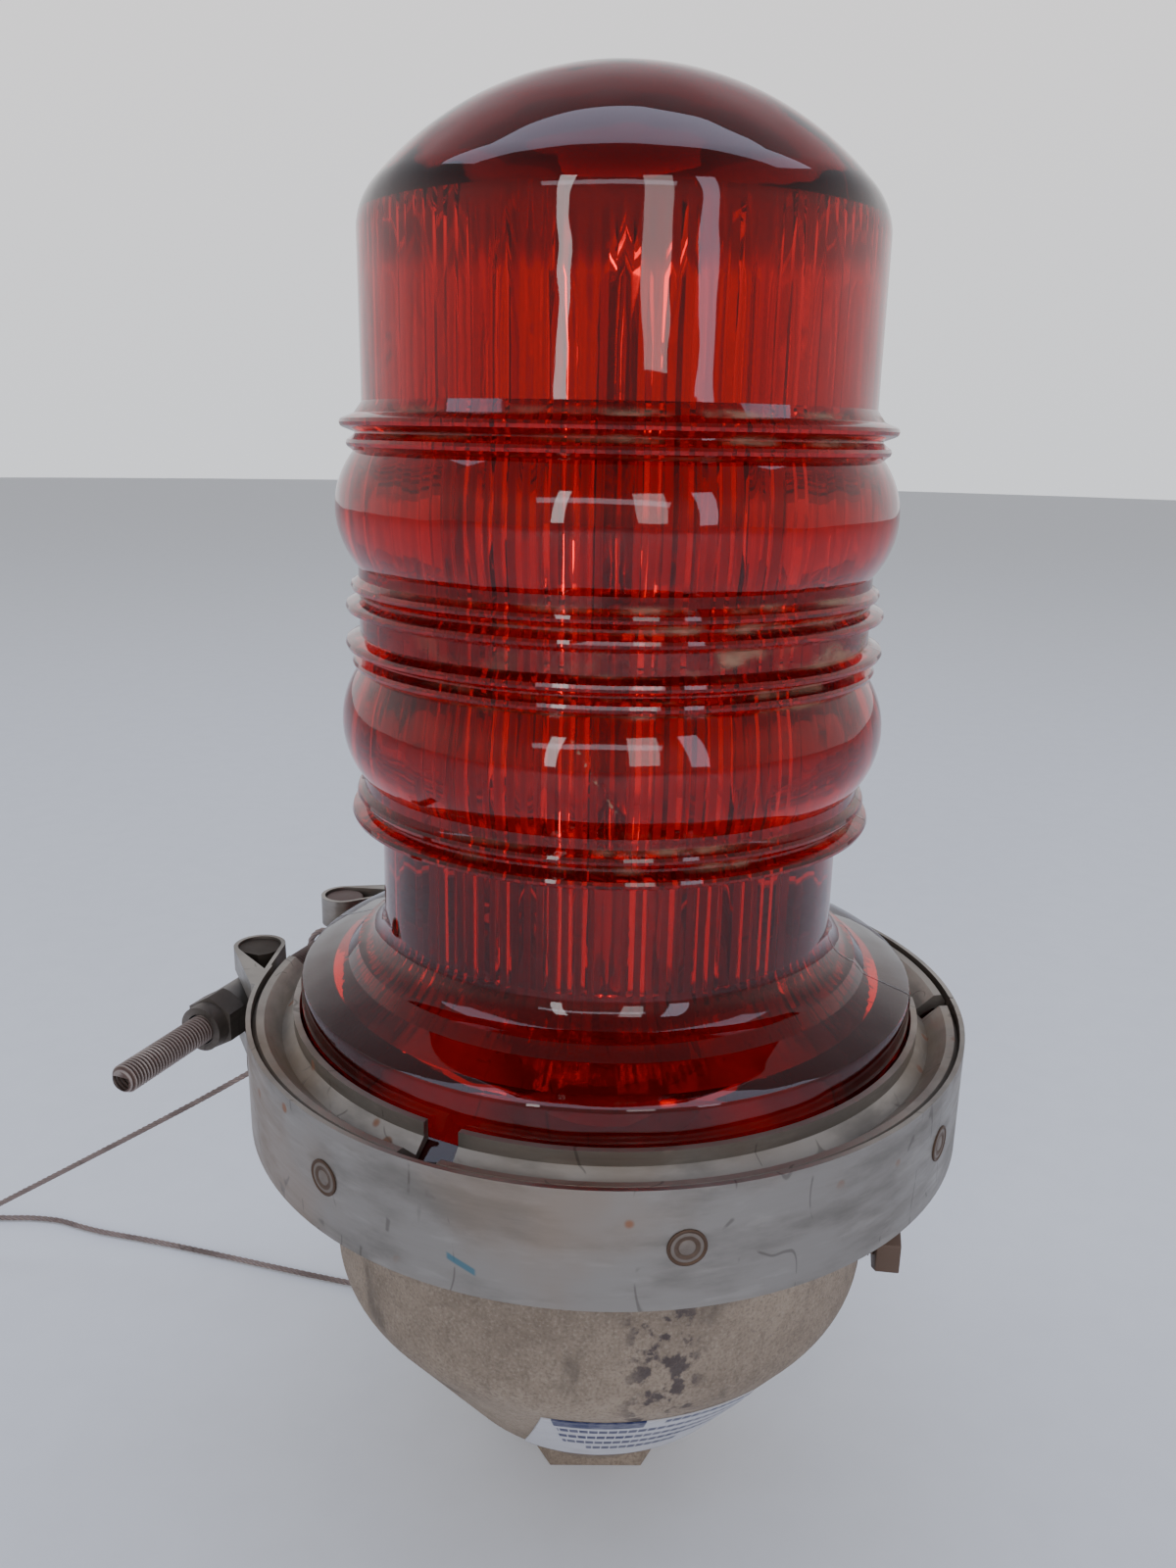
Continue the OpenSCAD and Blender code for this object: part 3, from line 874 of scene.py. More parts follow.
    @staticmethod
    def join(name: str, pieces: Sequence[bpy.types.Object]) -> bpy.types.Object:
        """Joins pieces into one.

        Args:
            name: the new name.
            pieces: the pieces; the first takes the others in.

        Returns:
            The joined piece.
        """
        Bench.take(pieces[0])
        for piece in pieces[1:]:
            piece.select_set(True)
        bpy.ops.object.join()
        return Bench.named(name)


def arc(centre: Pair, radius: float, start: float, end: float, steps: int) -> list[Pair]:
    """Points of an arc.

    Args:
        centre: its centre.
        radius: its radius.
        start: first angle in degrees.
        end: last angle in degrees.
        steps: pieces it is cut into.

    Returns:
        The points, both ends included.
    """
    angles = [math.radians(start + (end - start) * i / steps) for i in range(steps + 1)]
    return [(centre[0] + radius * math.cos(a), centre[1] + radius * math.sin(a)) for a in angles]


def round_axis(degrees: float) -> Vector:
    """Level direction at an angle round the globe's axis.

    Args:
        degrees: the angle from +X.

    Returns:
        The direction.
    """
    return Vector((math.cos(math.radians(degrees)), math.sin(math.radians(degrees)), 0.0))


def toward(point: Sequence[float], direction: Vector) -> Matrix:
    """Matrix that stands a piece made along +Z at a point, along a direction.

    Args:
        point: the point, in millimetres.
        direction: where its +Z goes.

    Returns:
        The matrix.
    """
    turn = direction.to_track_quat("Z", "Y").to_matrix().to_4x4()
    return Matrix.Translation(Vector(point) * MM) @ turn


@dataclass
class Thread:
    """A threaded rod, made along +Z from the origin, with its far end chamfered."""

    radius: float
    length: float
    pitch: float = 0.907
    depth_share: float = 0.6
    chamfer: float = 0.5
    sides: int = 28

    def build(self, name: str) -> bpy.types.Object:
        """Winds one turn's outline up the rod and trims both ends.

        Args:
            name: the piece's name.

        Returns:
            The rod, whose "crest" attribute is 0 in the thread's root and 1 on its crest.
        """
        p = self.pitch
        root = self.radius - self.depth_share * p
        outline = Bench.outline(
            name, [(root, -p), (root + 0.02, -0.86 * p), (self.radius, -0.56 * p),
                   (self.radius, -0.44 * p), (root + 0.02, -0.14 * p), (root, 0.0)], False)
        rod = Bench.apply(
            outline, "SCREW", axis="Z", angle=2 * math.pi, screw_offset=p * MM,
            iterations=int(self.length / p) + 3, steps=self.sides, render_steps=self.sides,
            use_merge_vertices=True, merge_threshold=2e-6)
        for height, up in ((0.0, False), (self.length, True)):
            Bench.edit(rod)
            bpy.ops.mesh.bisect(plane_co=(0, 0, height * MM), plane_no=(0, 0, 1), use_fill=True,
                                clear_outer=up, clear_inner=not up)
        Bench.edit(rod)
        bpy.ops.mesh.normals_make_consistent(inside=False)
        Bench.clear()
        span = (self.radius - root) * MM
        Bench.mark(rod, "crest", lambda point: (point.xy.length - root * MM) / span)
        for vertex in rod.data.vertices:
            limit = (root - self.chamfer + self.length) * MM - vertex.co.z
            share = min(1.0, limit / vertex.co.xy.length)
            vertex.co.x *= share
            vertex.co.y *= share
        return rod


# ---- Camera and studio ----


@dataclass
class Studio:
    """Camera, floor and lamps."""

    eye: Triple = (-8.88, -249.86, 231.37)
    down: float = 0.277435
    roll: float = 0.0196407
    yaw: float = 0.0173455
    lens: float = 28.13
    floor_r: float = 6.0
    floor_gap: float = 0.0001
    sky: tuple[tuple[float, tuple], ...] = (
        (0.0, (0.80, 0.82, 0.86, 1)), (0.30, (0.90, 0.88, 0.89, 1)),
        (0.58, (0.46, 0.47, 0.50, 1)), (1.0, (0.20, 0.21, 0.23, 1)))
    front: Pair = (-0.7, 0.6)
    rear: Pair = (0.3, 1.35)

    def camera(self) -> None:
        """Makes the camera."""
        cp, sp = math.cos(self.down), math.sin(self.down)
        cy, sy = math.cos(self.yaw), math.sin(self.yaw)
        look = Vector((sy * cp, cy * cp, -sp))
        level = Vector((cy, -sy, 0.0))
        over = level.cross(look)
        right = level * math.cos(self.roll) + over * math.sin(self.roll)
        up = over * math.cos(self.roll) - level * math.sin(self.roll)
        data = bpy.data.cameras.new("camera")
        data.sensor_width = 36.0
        data.lens = self.lens
        data.clip_start = 0.01
        data.clip_end = 50.0
        camera = bpy.data.objects.new("camera", data)
        bpy.context.scene.collection.objects.link(camera)
        basis = Matrix((right, up, -look)).transposed().to_4x4()
        camera.matrix_world = Matrix.Translation(Vector(self.eye) * MM) @ basis
        bpy.context.scene.camera = camera

    def floor(self) -> None:
        """Makes the pale floor."""
        Bench.clear()
        bpy.ops.mesh.primitive_circle_add(vertices=64, radius=self.floor_r, fill_type="NGON",
                                          location=(0, 0, -self.floor_gap))
        floor = Bench.named("floor")
        Moulded("pale_floor", (0.80, 0.82, 0.86), 0.6, 0.02, 0.02, variety=0.06).dress(floor)

    def lamp(self, name: str, place: Triple, size: Pair, power: float, aim: Triple,
             colour: Triple = (1, 1, 1)) -> None:
        """Adds one soft lamp.

        Args:
            name: its name.
            place: where it stands, in metres.
            size: its width and height, in metres.
            power: in watts.
            aim: the point it faces, in metres.
            colour: its light's colour.
        """
        data = bpy.data.lights.new(name, "AREA")
        data.shape = "RECTANGLE"
        data.size, data.size_y = size
        data.energy = power
        data.color = colour
        lamp = bpy.data.objects.new(name, data)
        bpy.context.scene.collection.objects.link(lamp)
        lamp.matrix_world = (Matrix.Translation(Vector(place)) @
                             (Vector(place) - Vector(aim)).to_track_quat("Z", "Y")
                             .to_matrix().to_4x4())

    def lights(self) -> None:
        """Adds the lamps and the surroundings, dimmer in front than behind."""
        self.lamp("overhead", (0, 0.15, 1.6), (2.6, 0.6), 13.0, (0, 0, 0.1), (0.66, 0.75, 1))
        self.lamp("front_sky", (-0.3, -2.2, 1.3), (2.2, 0.25), 7.0, (0, 0, 0.15), (0.8, 0.87, 1))
        self.lamp("left_window", (-0.62, -1.35, 0.7), (0.13, 0.95), 3.6, (0, 0, 0.2))
        self.lamp("right_window", (0.30, -1.5, 0.75), (0.3, 0.9), 4.0, (0, 0, 0.2))
        self.lamp("edge_window", (0.8, -1.25, 0.7), (0.2, 0.95), 3.0, (0, 0, 0.2), (0.8, 0.8, 1))
        world = bpy.data.worlds.new("studio")
        world.use_nodes = True
        tree = world.node_tree
        place = tree.nodes.new("ShaderNodeTexCoord")
        axes = tree.nodes.new("ShaderNodeSeparateXYZ")
        ramp = tree.nodes.new("ShaderNodeValToRGB")
        Shader.fill_ramp(ramp, self.sky)
        tree.links.new(place.outputs["Generated"], axes.inputs[0])
        tree.links.new(axes.outputs["Z"], ramp.inputs[0])
        tree.links.new(ramp.outputs[0], tree.nodes["Background"].inputs["Color"])
        fade = tree.nodes.new("ShaderNodeMapRange")
        for end, (from_y, strength) in (("Min", self.front), ("Max", self.rear)):
            fade.inputs[f"From {end}"].default_value = from_y
            fade.inputs[f"To {end}"].default_value = strength
        tree.links.new(axes.outputs["Y"], fade.inputs["Value"])
        tree.links.new(fade.outputs[0], tree.nodes["Background"].inputs["Strength"])
        bpy.context.scene.world = world


# ---- Lanyard ----


@dataclass
class Lanyard:
    """Wire rope from the T-bolt's eye to the screw on the bowl, with its eyes and ferrules."""

    rope_r: float = 0.75
    eye_r: float = 6.0
    strands: int = 6
    lay: float = 11.0
    valley: float = 0.14
    ring_gap: float = 0.7
    lowest: float = 0.78
    between_eyes: float = 80.0
    bolt_turn: float = -112.5
    screw_turn: float = 142.0
    sleeve_r: float = 1.7
    near: float = 4.0
    route: tuple[Triple, ...] = (
        (-70.4, 46.9, 85.5), (-70.5, 46.9, 82.5), (-71.9, 46.6, 79.6), (-75.5, 45.9, 76.2),
        (-81, 44.9, 72.9), (-87, 43.8, 69.7), (-94, 43, 65.8), (-105, 43.2, 59),
        (-118, 44.7, 50.8), (-131, 46.5, 42.6), (-144, 48.4, 34.4), (-156, 50.1, 26.9),
        (-167, 51.7, 20), (-176, 53.2, 14.2), (-184, 54.8, 9.1), (-192, 57.4, 4.6),
        (-199, 61.4, 1.7), (-203, 67, 0.8), (-203, 73, 0.8), (-199, 76.4, 0.8),
        (-192, 76.2, 0.8), (-185, 73.8, 0.8), (-178, 72.2, 0.8), (-169, 72.2, 0.8),
        (-160, 71, 0.8), (-152, 68, 0.8), (-144, 65.4, 0.8), (-128, 61.4, 0.8),
        (-112, 56.8, 0.8), (-98, 52.6, 0.8), (-84, 48.4, 0.8), (-70, 44.4, 0.8),
        (-61, 41.9, 1.6), (-55, 40.3, 5), (-51.2, 39.2, 10.5), (-49.6, 38.6, 18),
        (-49, 38.3, 28), (-48.8, 38.1, 38), (-48.8, 38.1, 47.5))
    steel: Finish = WornSteel("rope_wire", (0.28, 0.22, 0.20), (0.20, 0.10, 0.07), 0.6, 0.3, 0.42)
    sleeve: Finish = WornSteel("sleeve_steel", (0.42, 0.41, 0.41), roughness=0.42)

    def build(self) -> None:
        path = self._fair([Vector(p) for p in self.route], 4)
        rope = self._strand_tube("lanyard_wire", path, False)
        self.steel.dress(rope)
        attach(rope, Body.LIGHT.value)
        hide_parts("lanyard_rope")
        eyes = self._eyes()
        sleeves = self._ferrules(path)
        line = [tuple(p * MM) for p in path]

    def _fair(self, points: Sequence[Vector], cuts: int) -> list[Vector]:
        """Adds points on a smooth curve through the route.

        Args:
            points: the route.
            cuts: pieces each leg is cut into.

        Returns:
            The finer route, in millimetres.
        """
        done = []
        for i in range(len(points) - 1):
            a, b = points[i], points[i + 1]
            before = points[i - 1] if i else a * 2 - b
            after = points[i + 2] if i + 2 < len(points) else b * 2 - a
            for j in range(cuts):
                t = j / cuts
                done.append(0.5 * ((2 * a) + (b - before) * t
                                   + (2 * before - 5 * a + 4 * b - after) * t * t
                                   + (3 * a - before - 3 * b + after) * t ** 3))
        done.append(points[-1])
        for point in done:
            point.z = max(point.z, self.lowest)
        return done

    def _strand_tube(self, name: str, path: Sequence[Vector], closed: bool) -> bpy.types.Object:
        """A rope of twisted strands along a path, from a stack of lobed rings bridged together.

        Args:
            name: the piece's name.
            path: points in millimetres.
            closed: whether the last point joins the first.

        Returns:
            The rope.
        """
        sides = self.strands * 4
        finer = self._even(path, self.ring_gap, closed)
        verts: list[Vector] = []
        side = None
        travelled = 0.0
        count = len(finer)
        total = sum((finer[(i + 1) % count] - finer[i]).length for i in range(count))
        lay = total / max(1, round(total / self.lay)) if closed else self.lay
        for i, point in enumerate(finer):
            ahead = finer[(i + 1) % count] if closed or i < count - 1 else point
            behind = finer[i - 1] if closed or i else point
            heading = (ahead - behind).normalized()
            if side is None:
                side = heading.orthogonal().normalized()
            side = (side - heading * side.dot(heading)).normalized()
            other = heading.cross(side)
            spin = 2 * math.pi * travelled / lay
            for k in range(sides):
                angle = 2 * math.pi * k / sides
                radius = self.rope_r * (1 - self.valley
                                        + self.valley * math.cos(self.strands * angle))
                verts.append((point + radius * (math.cos(angle + spin) * side
                                                + math.sin(angle + spin) * other)) * MM)
            travelled += (finer[(i + 1) % count] - point).length
        faces: list[tuple[int, ...]] = []
        for i in range(count if closed else count - 1):
            low, high = i * sides, (i + 1) % count * sides
            for k in range(sides):
                j = (k + 1) % sides
                faces.append((low + k, low + j, high + j, high + k))
        if not closed:
            faces.append(tuple(reversed(range(sides))))
            faces.append(tuple(range((count - 1) * sides, count * sides)))
        mesh = bpy.data.meshes.new(name)
        mesh.from_pydata([tuple(v) for v in verts], [], faces)
        rope = bpy.data.objects.new(name, mesh)
        bpy.context.scene.collection.objects.link(rope)
        return Bench.settle(rope, angle=60.0)

    @staticmethod
    def _even(path: Sequence[Vector], gap: float, closed: bool) -> list[Vector]:
        """Spreads points evenly along a path.

        Args:
            path: the path.
            gap: distance between points, in millimetres.
            closed: whether it joins up.

        Returns:
            The points.
        """
        points = list(path) + ([path[0]] if closed else [])
        spans = [(b - a).length for a, b in zip(points, points[1:])]
        total = sum(spans)
        count = max(3, round(total / gap))
        done, i, start = [], 0, 0.0
        for k in range(count if closed else count + 1):
            want = total * k / count
            while i < len(spans) - 1 and start + spans[i] < want:
                start += spans[i]
                i += 1
            share = min(1.0, (want - start) / spans[i]) if spans[i] else 0.0
            done.append(points[i].lerp(points[i + 1], share))
        return done

    def _eyes(self) -> bpy.types.Object:
        """Both eyes, twisted like the rope, where the CAD eyes are."""
        made = []
        for i, (centre, axis) in enumerate(self._split(bpy.data.objects["lanyard_eyes"])):
            side = axis.orthogonal().normalized()
            other = axis.cross(side)
            ring = [centre + self.eye_r * (math.cos(a) * side + math.sin(a) * other)
                    for a in (2 * math.pi * k / 48 for k in range(48))]
            made.append(self._strand_tube(f"eye_{i}", ring, True))
        eyes = Bench.join("lanyard_loops", made)
        self.steel.dress(eyes)
        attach(eyes, Body.LIGHT.value)
        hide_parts("lanyard_eyes")
        return eyes

    def _split(self, node: bpy.types.Object) -> list[tuple[Vector, Vector]]:
        """Finds the middle and axis of each of the two rings in the CAD node.

        Args:
            node: the node.

        Returns:
            (centre, axis) of each ring, in millimetres.
        """
        points = [v.co / MM for v in node.data.vertices]
        done = []
        for upper, turn in ((True, self.bolt_turn), (False, self.screw_turn)):
            group = [p for p in points if (p.z > self.between_eyes) == upper]
            centre = Vector([(min(p[k] for p in group) + max(p[k] for p in group)) / 2
                             for k in range(3)])
            done.append((centre, round_axis(turn)))
        return done

    def _ferrules(self, path: Sequence[Vector]) -> bpy.types.Object:
        """Both sleeves, plain with rounded edges, where the CAD ferrules are.

        Args:
            path: the rope's points, in millimetres.

        Returns:
            The sleeves.
        """
        made = []
        for i, foot in enumerate((path[0], path[-1])):
            height = self._top_near(foot) - foot.z
            Bench.clear()
            bpy.ops.mesh.primitive_cylinder_add(
                vertices=24, radius=self.sleeve_r * MM, depth=height * MM,
                location=(foot.x * MM, foot.y * MM, (foot.z + height / 2) * MM))
            sleeve = Bench.named(f"sleeve_{i}")
            Bench.apply(sleeve, "BEVEL", width=0.25 * MM, segments=2, angle_limit=math.radians(50))
            made.append(Bench.settle(sleeve))
        sleeves = Bench.join("lanyard_sleeves", made)
        self.sleeve.dress(sleeves)
        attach(sleeves, Body.LIGHT.value)
        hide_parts("lanyard_ferrules")
        return sleeves

    def _top_near(self, foot: Vector) -> float:
        """Highest point of the CAD ferrule that stands on a point.

        Args:
            foot: the point, in millimetres.

        Returns:
            Its height in millimetres.
        """
        node = bpy.data.objects["lanyard_ferrules"]
        near = [v.co.z / MM for v in node.data.vertices
                if math.hypot(v.co.x / MM - foot.x, v.co.y / MM - foot.y) < self.near]
        return max(near)


# ---- Globe ----


@dataclass
class Globe:
    """Pressed glass globe: two lens belts, guard rings, a flange and flutes inside."""

    seat_z: float = 103.5
    rim_r: float = 70.5
    flange_r: float = 65.5
    neck_r: float = 47.6
    barrel_r: float = 49.5
    wall: float = 5.0
    barrel_top: float = 267.5
    dome_r: float = 62.0
    shoulder_r: float = 12.0
    belt_r: float = 55.0
    belt_curve: float = 17.0
    groove_r: float = 51.0
    belts: Pair = (175.8, 217.2)
    rings: tuple[Pair, ...] = ((-18.5, 53.6), (-14.6, 52.5), (12.0, 52.6), (15.7, 53.8))
    flutes: int = 120
    flute_depth: float = 1.2
    flute_z: Pair = (132.0, 268.0)
    flute_end: float = 4.0
    steps: int = 480
    glass: Finish = RedGlass()

    def build(self) -> None:
        """Makes the globe in place of its plain CAD shell."""
        outline = Bench.outline("fluted_globe", self._outline(), False)
        globe = Bench.revolve(outline, self.steps)
        self._flute(globe)
        Bench.settle(globe, angle=28.0)
        self.glass.dress(globe)
        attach(globe, Body.LIGHT.value)
        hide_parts("glass_globe")
        LOG.info("globe: %d faces", len(globe.data.polygons))

    def _ring(self, z: float, tip: float) -> list[Pair]:
        """Outline of one guard ring.

        Args:
            z: its height.
            tip: its tip's radius.

        Returns:
            The points, from below.
        """
        return [(self.groove_r, z - 1.7), (tip - 0.75, z - 0.95), (tip - 0.22, z - 0.62),
                (tip, z), (tip - 0.22, z + 0.62), (tip - 0.75, z + 0.95),
                (self.groove_r, z + 1.7)]

    def _belt(self, z: float) -> list[Pair]:
        """Outline of one lens belt and its four rings.

        Args:
            z: the belt's middle.

        Returns:
            The points, from below.
        """
        centre = self.belt_r - self.belt_curve
        spread = math.degrees(math.acos((self.groove_r - centre) / self.belt_curve))
        rings = [self._ring(z + dz, tip) for dz, tip in self.rings]
        return (rings[0] + rings[1] + arc((centre, z), self.belt_curve, -spread, spread, 16)
                + rings[2] + rings[3])

    def _outline(self) -> list[Pair]:
        """The globe's whole outline, from the crown's inside round the foot to its outside."""
        rim_top = self.seat_z + 3.3
        neck = rim_top + 3.4
        flange_top = self.seat_z + 18.3
        shoulder_z = self.barrel_top - 1.2
        inner_r = self.barrel_r - self.wall
        bend = self.shoulder_r
        dome_z = shoulder_z - math.sqrt((self.dome_r - bend) ** 2 - (self.barrel_r - bend) ** 2)
        lift = math.degrees(math.atan2(shoulder_z - dome_z, self.barrel_r - bend))
        inner_lift = math.degrees(math.acos(inner_r / (self.dome_r - self.wall)))
        inside = arc((0, dome_z), self.dome_r - self.wall, 90, inner_lift, 20)
        heights = [inside[-1][1] - 4, 255, 245, 235, 217, 196, 176, 155, 140, 133]
        down = [(inner_r, z) for z in heights]
        foot = [(50, flange_top + 3.2), (57.5, flange_top - 4), (57.5, self.seat_z),
                (self.rim_r, self.seat_z), (self.rim_r, rim_top), (66.4, neck),
                (self.flange_r, neck + 0.4), (self.flange_r, flange_top - 1.3),
                (self.flange_r - 0.35, flange_top - 0.45), (self.flange_r - 1.1, flange_top),
                (60.6, flange_top + 1.25), (self.neck_r + 8, flange_top + 3)]
        root = arc((self.neck_r + 7, flange_top + 12.3), 7, -100, -180, 10)
        up = [(self.neck_r, self.belts[0] - 21.5)]
        top = [(self.barrel_r, self.belts[1] + 19.5), (self.barrel_r, 250)]
        shoulder = arc((self.barrel_r - bend, shoulder_z), bend, 0, lift, 8)
        crown = arc((0, dome_z), self.dome_r, lift, 90, 20)[1:]
        body = (inside + down + foot + root + up + self._belt(self.belts[0])
                + self._belt(self.belts[1]) + top + shoulder + crown)
        return [(max(0.0, r), z) for r, z in body]

    def _flute(self, globe: bpy.types.Object) -> None:
        """Presses vertical flutes into the inner wall, fading at both ends.

        Args:
            globe: the globe.
        """
        inner_r = (self.barrel_r - self.wall) * MM
        for vertex in globe.data.vertices:
            radius = math.hypot(vertex.co.x, vertex.co.y)
            z = vertex.co.z / MM
            if abs(radius - inner_r) > 2e-5 or z < self.flute_z[0]:
                continue
            around = math.atan2(vertex.co.y, vertex.co.x)
            uneven = 0.75 + 0.3 * math.sin(around * 7.0) + 0.25 * math.sin(around * 31.0 + 1.0)
            fade = uneven * min(1.0, max(0.0, (self.flute_z[1] - z) / self.flute_end))
            wave = 0.5 * (1 + math.cos(around * self.flutes))
            out = 1 + fade * self.flute_depth * MM / inner_r * wave
            vertex.co.x *= out
            vertex.co.y *= out


# ---- Band clamp ----


@dataclass
class BandClamp:
    """Strap halves, retainers, threaded T-bolt, nut and spot welds."""

    bolt_z: float = 102.0
    bolt_r: float = 3.175
    foot: Pair = (-76.68, 31.76)
    head_back: float = 24.3
    reach: float = 60.0
    trunnion_r: float = 4.9
    band_h: float = 23.2
    strap_r: float = 77.1
    front_welds: tuple[float, ...] = (-132.0, -81.0, -35.0, -170.0)
    rear_welds: tuple[float, ...] = (15.0, 65.0, 115.0)
    bolt_turn: float = -112.5
    spot_r: float = 3.5
    spot_z: float = 102.4
    spot_steps: tuple[Pair, ...] = ((0.3, 0.1), (0.3, -0.16), (0.3, 0.05), (0.7, 0.0),
                                    (0.3, -0.14), (0.3, 0.12))
    strap: Finish = WornSteel("strap_steel", (0.295, 0.272, 0.245), tinted=0.55, rust=0.85,
                              mark=True)
    rolled: Finish = WornSteel("retainer_steel", (0.33, 0.30, 0.265), (0.25, 0.18, 0.12),
                               0.7, 0.8, 0.46)
    # Painted shade: the trunnion gets a dark brown-grey steel for the shade inside the strap's
    # loop.
    pin_painted_shade: Finish = WornSteel("pin_steel_painted_shade", (0.085, 0.07, 0.058), (0.08, 0.05, 0.035), 0.6, 0.7, 0.6)
    plain: Finish = WornSteel("fastener_steel", (0.29, 0.265, 0.24), tinted=0.6, roughness=0.42)
    dark: Finish = WornSteel("nut_steel", (0.19, 0.165, 0.145), (0.12, 0.075, 0.05), 0.7, 0.5, 0.45)
    thread: Finish = StainedShadedThread()
    weld: Finish = HeatMarkedSteel()
    insert: Finish = Moulded("locking_nylon", (0.05, 0.09, 0.14), 0.5)

    def build(self, nodes: dict[str, bpy.types.Object]) -> None:
        """Makes the T-bolt and welds and dresses the CAD pieces.

        Args:
            nodes: the CAD nodes.
        """
        for name in ("band_front", "band_rear"):
            self.strap.dress(nodes[name])
        for name in ("retainer_left", "retainer_right", "retainer_rear"):
            self.rolled.dress(nodes[name])
        # The trunnion's dark finish is painted shade.
        self.pin_painted_shade.dress(nodes["trunnion"])
        self.plain.dress(nodes["spacer_sleeve"])
        self.dark.dress(nodes["lock_nut"])
        self.insert.dress(nodes["nut_insert"])
        self._t_bolt()
        self._welds("front_spot_welds", self.front_welds, Body.CLAMP_ARM)
        self._welds("rear_spot_welds", self.rear_welds, Body.LIGHT)
        LOG.info("clamp: T-bolt and %d welds", len(self.front_welds) + len(self.rear_welds))

    def _t_bolt(self) -> None:
        """The T-bolt: a threaded shank through a rounded cross head."""
        along = round_axis(self.bolt_turn)
        start = Vector((*self.foot, self.bolt_z)) - along * self.head_back
        shank = Thread(self.bolt_r, self.head_back + self.reach).build("shank")
        Bench.settle(shank, toward(start, along), 30.0)
        Bench.clear()
        bpy.ops.mesh.primitive_cylinder_add(
            vertices=40, radius=self.trunnion_r * MM, depth=(self.band_h - 1.2) * MM,
            location=start * MM)
        head = Bench.named("cross_head")
        Bench.apply(head, "BEVEL", width=0.6 * MM, segments=3, angle_limit=math.radians(50))
        Bench.settle(head)
        # The cross head has no crest mark, so the thread's finish paints it in the dark root
        # colour: painted shade inside the strap's loop.
        bolt = Bench.join("threaded_t_bolt", [shank, head])
        self.thread.dress(bolt)
        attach(bolt, Body.BOLT.value)
        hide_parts("t_bolt")

    def _welds(self, name: str, places: Sequence[float], body: Body) -> None:
        """Spot welds pressed into the strap: low rings round a dished middle.

        Args:
            name: the piece's name.
            places: directions round the axis, in degrees.
            body: the body that carries them.
        """
        made = []
        for i, turn in enumerate(places):
            Bench.clear()
            bpy.ops.mesh.primitive_cylinder_add(vertices=32, radius=self.spot_r * MM,
                                                depth=0.5 * MM, location=(0, 0, -0.1 * MM))
            spot = Bench.named(f"{name}_{i}")
            for thick, depth in self.spot_steps:
                Bench.pick(spot, Pick.FACES,
                           lambda face: face.normal.z > 0.9 and len(face.vertices) > 8)
                bpy.ops.mesh.inset(thickness=thick * MM, depth=depth * MM)
                Bench.clear()
            Bench.mark(spot, "spot", lambda point: point.xy.length / (self.spot_r * MM))
            out = round_axis(turn)
            place = toward((*(self.strap_r * out.xy), self.spot_z), out)
            made.append(Bench.settle(spot, place, 30.0))
        welds = Bench.join(name, made)
        self.weld.dress(welds)
        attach(welds, body.value)


# ---- Base ----


@dataclass
class Base:
    """Cast bowl, rating film, seal, ground bolt and lanyard screw."""

    ground_turn: float = -8.0
    ground_z: float = 54.5
    ground_r: float = 3.175
    ground_span: Pair = (52.2, 64.0)
    head_from: float = 63.5
    head_flats: float = 12.0
    head_h: float = 5.4
    casting: Finish = SandCast()
    film: Finish = RatingFilm()
    seal: Finish = Moulded("seal_rubber", (0.09, 0.010, 0.013), 0.85, 0.6, 0.05)
    # The thread's roots are darkened as painted shade; the hex head, which has no crest mark, takes
    # the same dark root colour.
    brown: Finish = StainedShadedThread("browned_bolt_and_root_shade", (0.22, 0.15, 0.11), (0.10, 0.06, 0.04))
    screw: Finish = WornSteel("screw_steel", (0.30, 0.285, 0.265), tinted=0.5, roughness=0.42)

    def build(self, nodes: dict[str, bpy.types.Object]) -> None:
        """Dresses the base's pieces and makes the threaded ground bolt.

        Args:
            nodes: the CAD nodes.
        """
        self.casting.dress(nodes["base_casting"])
        self.film.dress(nodes["rating_label"])
        self.seal.dress(nodes["globe_seal"])
        self.screw.dress(nodes["lanyard_screw"])
        self._ground_bolt()
        LOG.info("base: casting, film, seal and bolts")

    def _ground_bolt(self) -> None:
        """The hex-headed ground bolt with its bare stretch of thread."""
        out = round_axis(self.ground_turn)
        inner, outer = self.ground_span
        shank = Thread(self.ground_r, outer - inner).build("ground_shank")
        Bench.settle(shank, toward((*(inner * out.xy), self.ground_z), out), 30.0)
        Bench.clear()
        corner_r = self.head_flats / 2 / math.cos(math.pi / 6)
        bpy.ops.mesh.primitive_cylinder_add(vertices=6, radius=corner_r * MM,
                                            depth=self.head_h * MM,
                                            location=(0, 0, self.head_h / 2 * MM))
        head = Bench.named("ground_head")
        Bench.pick(head, Pick.FACES, lambda face: face.normal.z > 0.9)
        bpy.ops.mesh.inset(thickness=0.8 * MM, depth=0.0)
        Bench.clear()
        Bench.apply(head, "BEVEL", width=0.3 * MM, segments=2, angle_limit=math.radians(40))
        Bench.settle(head, toward((*(self.head_from * out.xy), self.ground_z), out), 30.0)
        bolt = Bench.join("ground_stud", [head, shank])
        self.brown.dress(bolt)
        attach(bolt, Body.LIGHT.value)
        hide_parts("ground_bolt")


# ---- Lamp ----


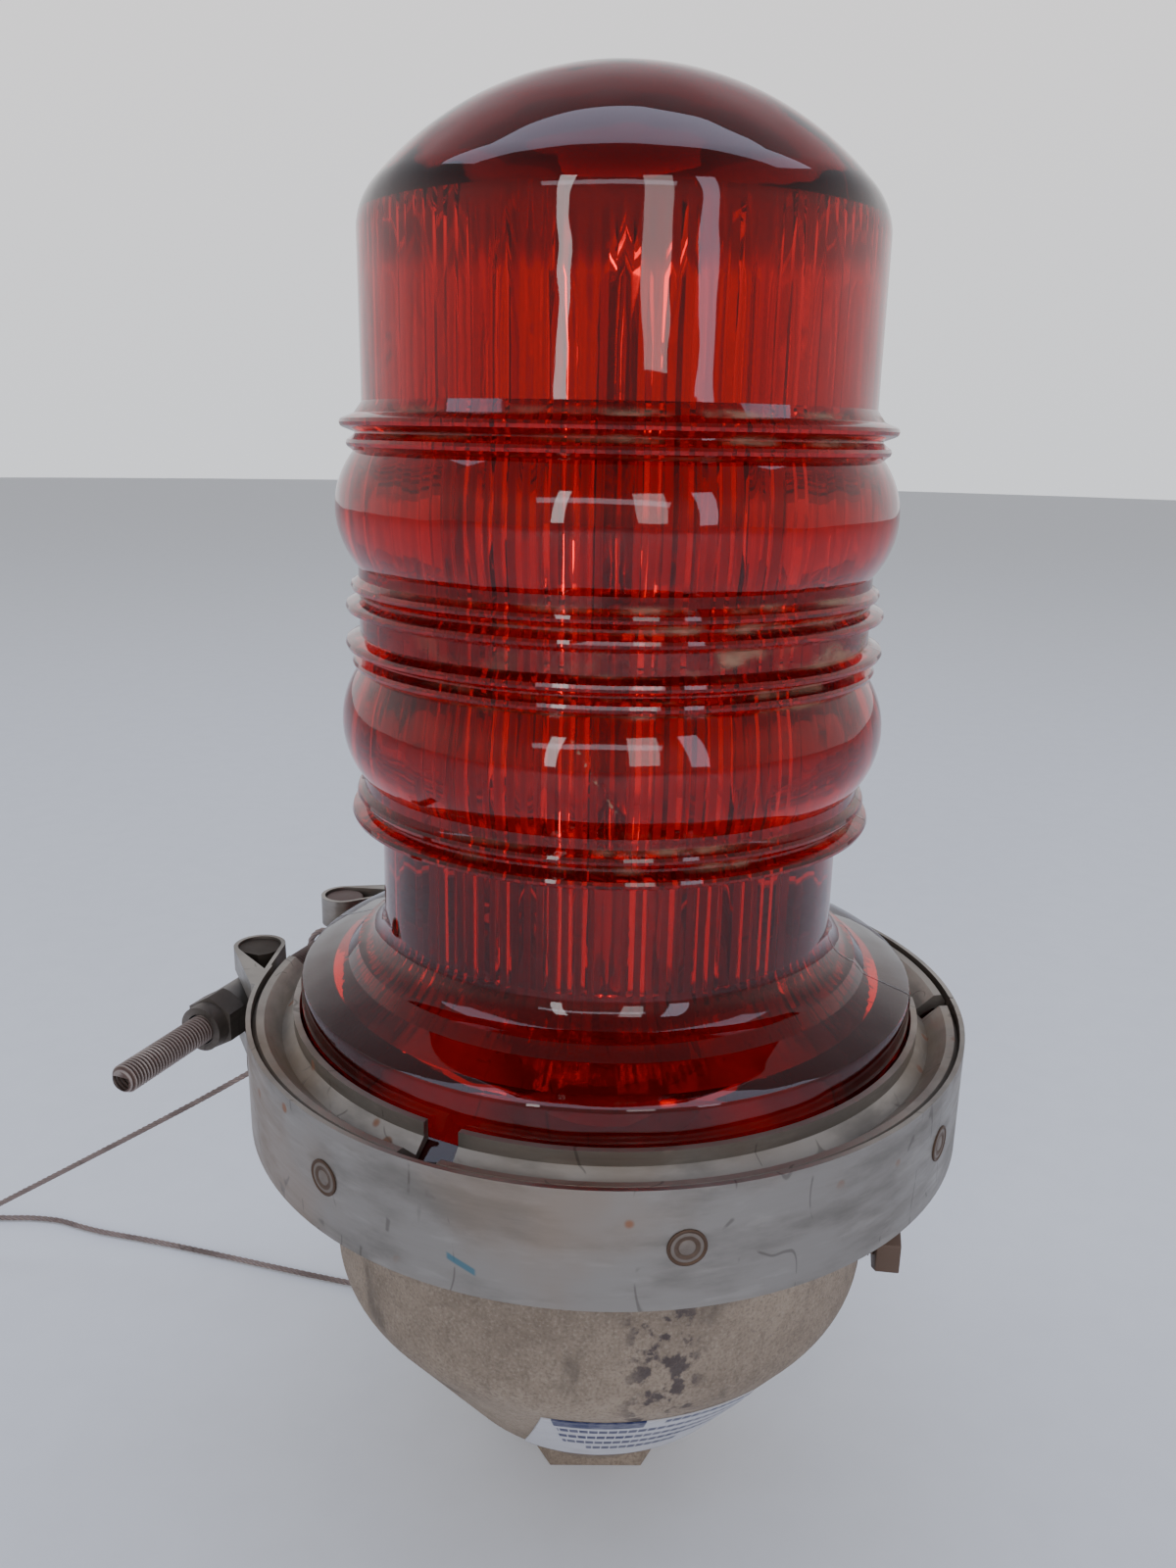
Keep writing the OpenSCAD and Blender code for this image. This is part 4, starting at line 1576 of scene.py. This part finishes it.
@dataclass
class Lamp:
    """Everything inside the globe and bowl, as dressed CAD pieces."""

    finishes: tuple[tuple[Finish, tuple[str, ...]], ...] = (
        (WornSteel("lamp_screws", (0.5, 0.5, 0.5), tinted=0.1, rust=0.0, roughness=0.3),
         ("plate_screws", "mast_screws", "board_screws", "terminal_screws")),
        (WornSteel("plate_sheet", (0.62, 0.62, 0.63), tinted=0.05, rust=0.0, roughness=0.34),
         ("mounting_plate",)),
        (WornSteel("mast_extrusion", (0.60, 0.60, 0.61), tinted=0.05, rust=0.0, roughness=0.4),
         ("heat_sink_mast",)),
        (Moulded("white_board", (0.80, 0.80, 0.77), 0.4, 0.5, 0.02, variety=0.1),
         ("lower_led_boards", "upper_led_boards")),
        (Moulded("led_lens", (0.75, 0.52, 0.16), 0.12, 0.2, 0.01, variety=0.2),
         ("lower_leds", "upper_leds")),
        (Moulded("turned_brass", (0.60, 0.42, 0.16), 0.3, 0.6, 0.02, 1.0), ("board_standoffs",)),
        (Moulded("green_board", (0.02, 0.16, 0.05), 0.35, 0.4, 0.02), ("driver_board",)),
        (Moulded("capacitor_sleeve", (0.02, 0.025, 0.09), 0.25, 0.5, 0.01),
         ("driver_capacitors",)),
        (Moulded("enamelled_wire", (0.42, 0.16, 0.05), 0.25, 1.4, 0.15, 0.6), ("driver_choke",)),
        (Moulded("dipped_blue", (0.03, 0.09, 0.36), 0.3, 0.6, 0.02), ("surge_suppressor",)),
        (Moulded("chip_resin", (0.015, 0.015, 0.016), 0.5, 1.5, 0.02), ("driver_chips",)),
        (Moulded("terminal_resin", (0.03, 0.035, 0.04), 0.45, 0.8, 0.02), ("terminal_block",)),
    )

    def build(self, nodes: dict[str, bpy.types.Object]) -> None:
        """Dresses each inner piece.

        Args:
            nodes: the CAD nodes.
        """
        for finish, names in self.finishes:
            for name in names:
                finish.dress(nodes[name])
                LOG.info("lamp: %s", name)


def main() -> None:
    """Builds the light."""
    logging.basicConfig(level=logging.INFO, format="%(name)s: %(message)s")
    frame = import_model()
    nodes = frame["nodes"]
    studio = Studio()
    studio.camera()
    Lanyard().build()
    Globe().build()
    BandClamp().build(nodes)
    Base().build(nodes)
    Lamp().build(nodes)
    studio.floor()
    studio.lights()
    Bench.clear()


if __name__ == "__main__":
    main()
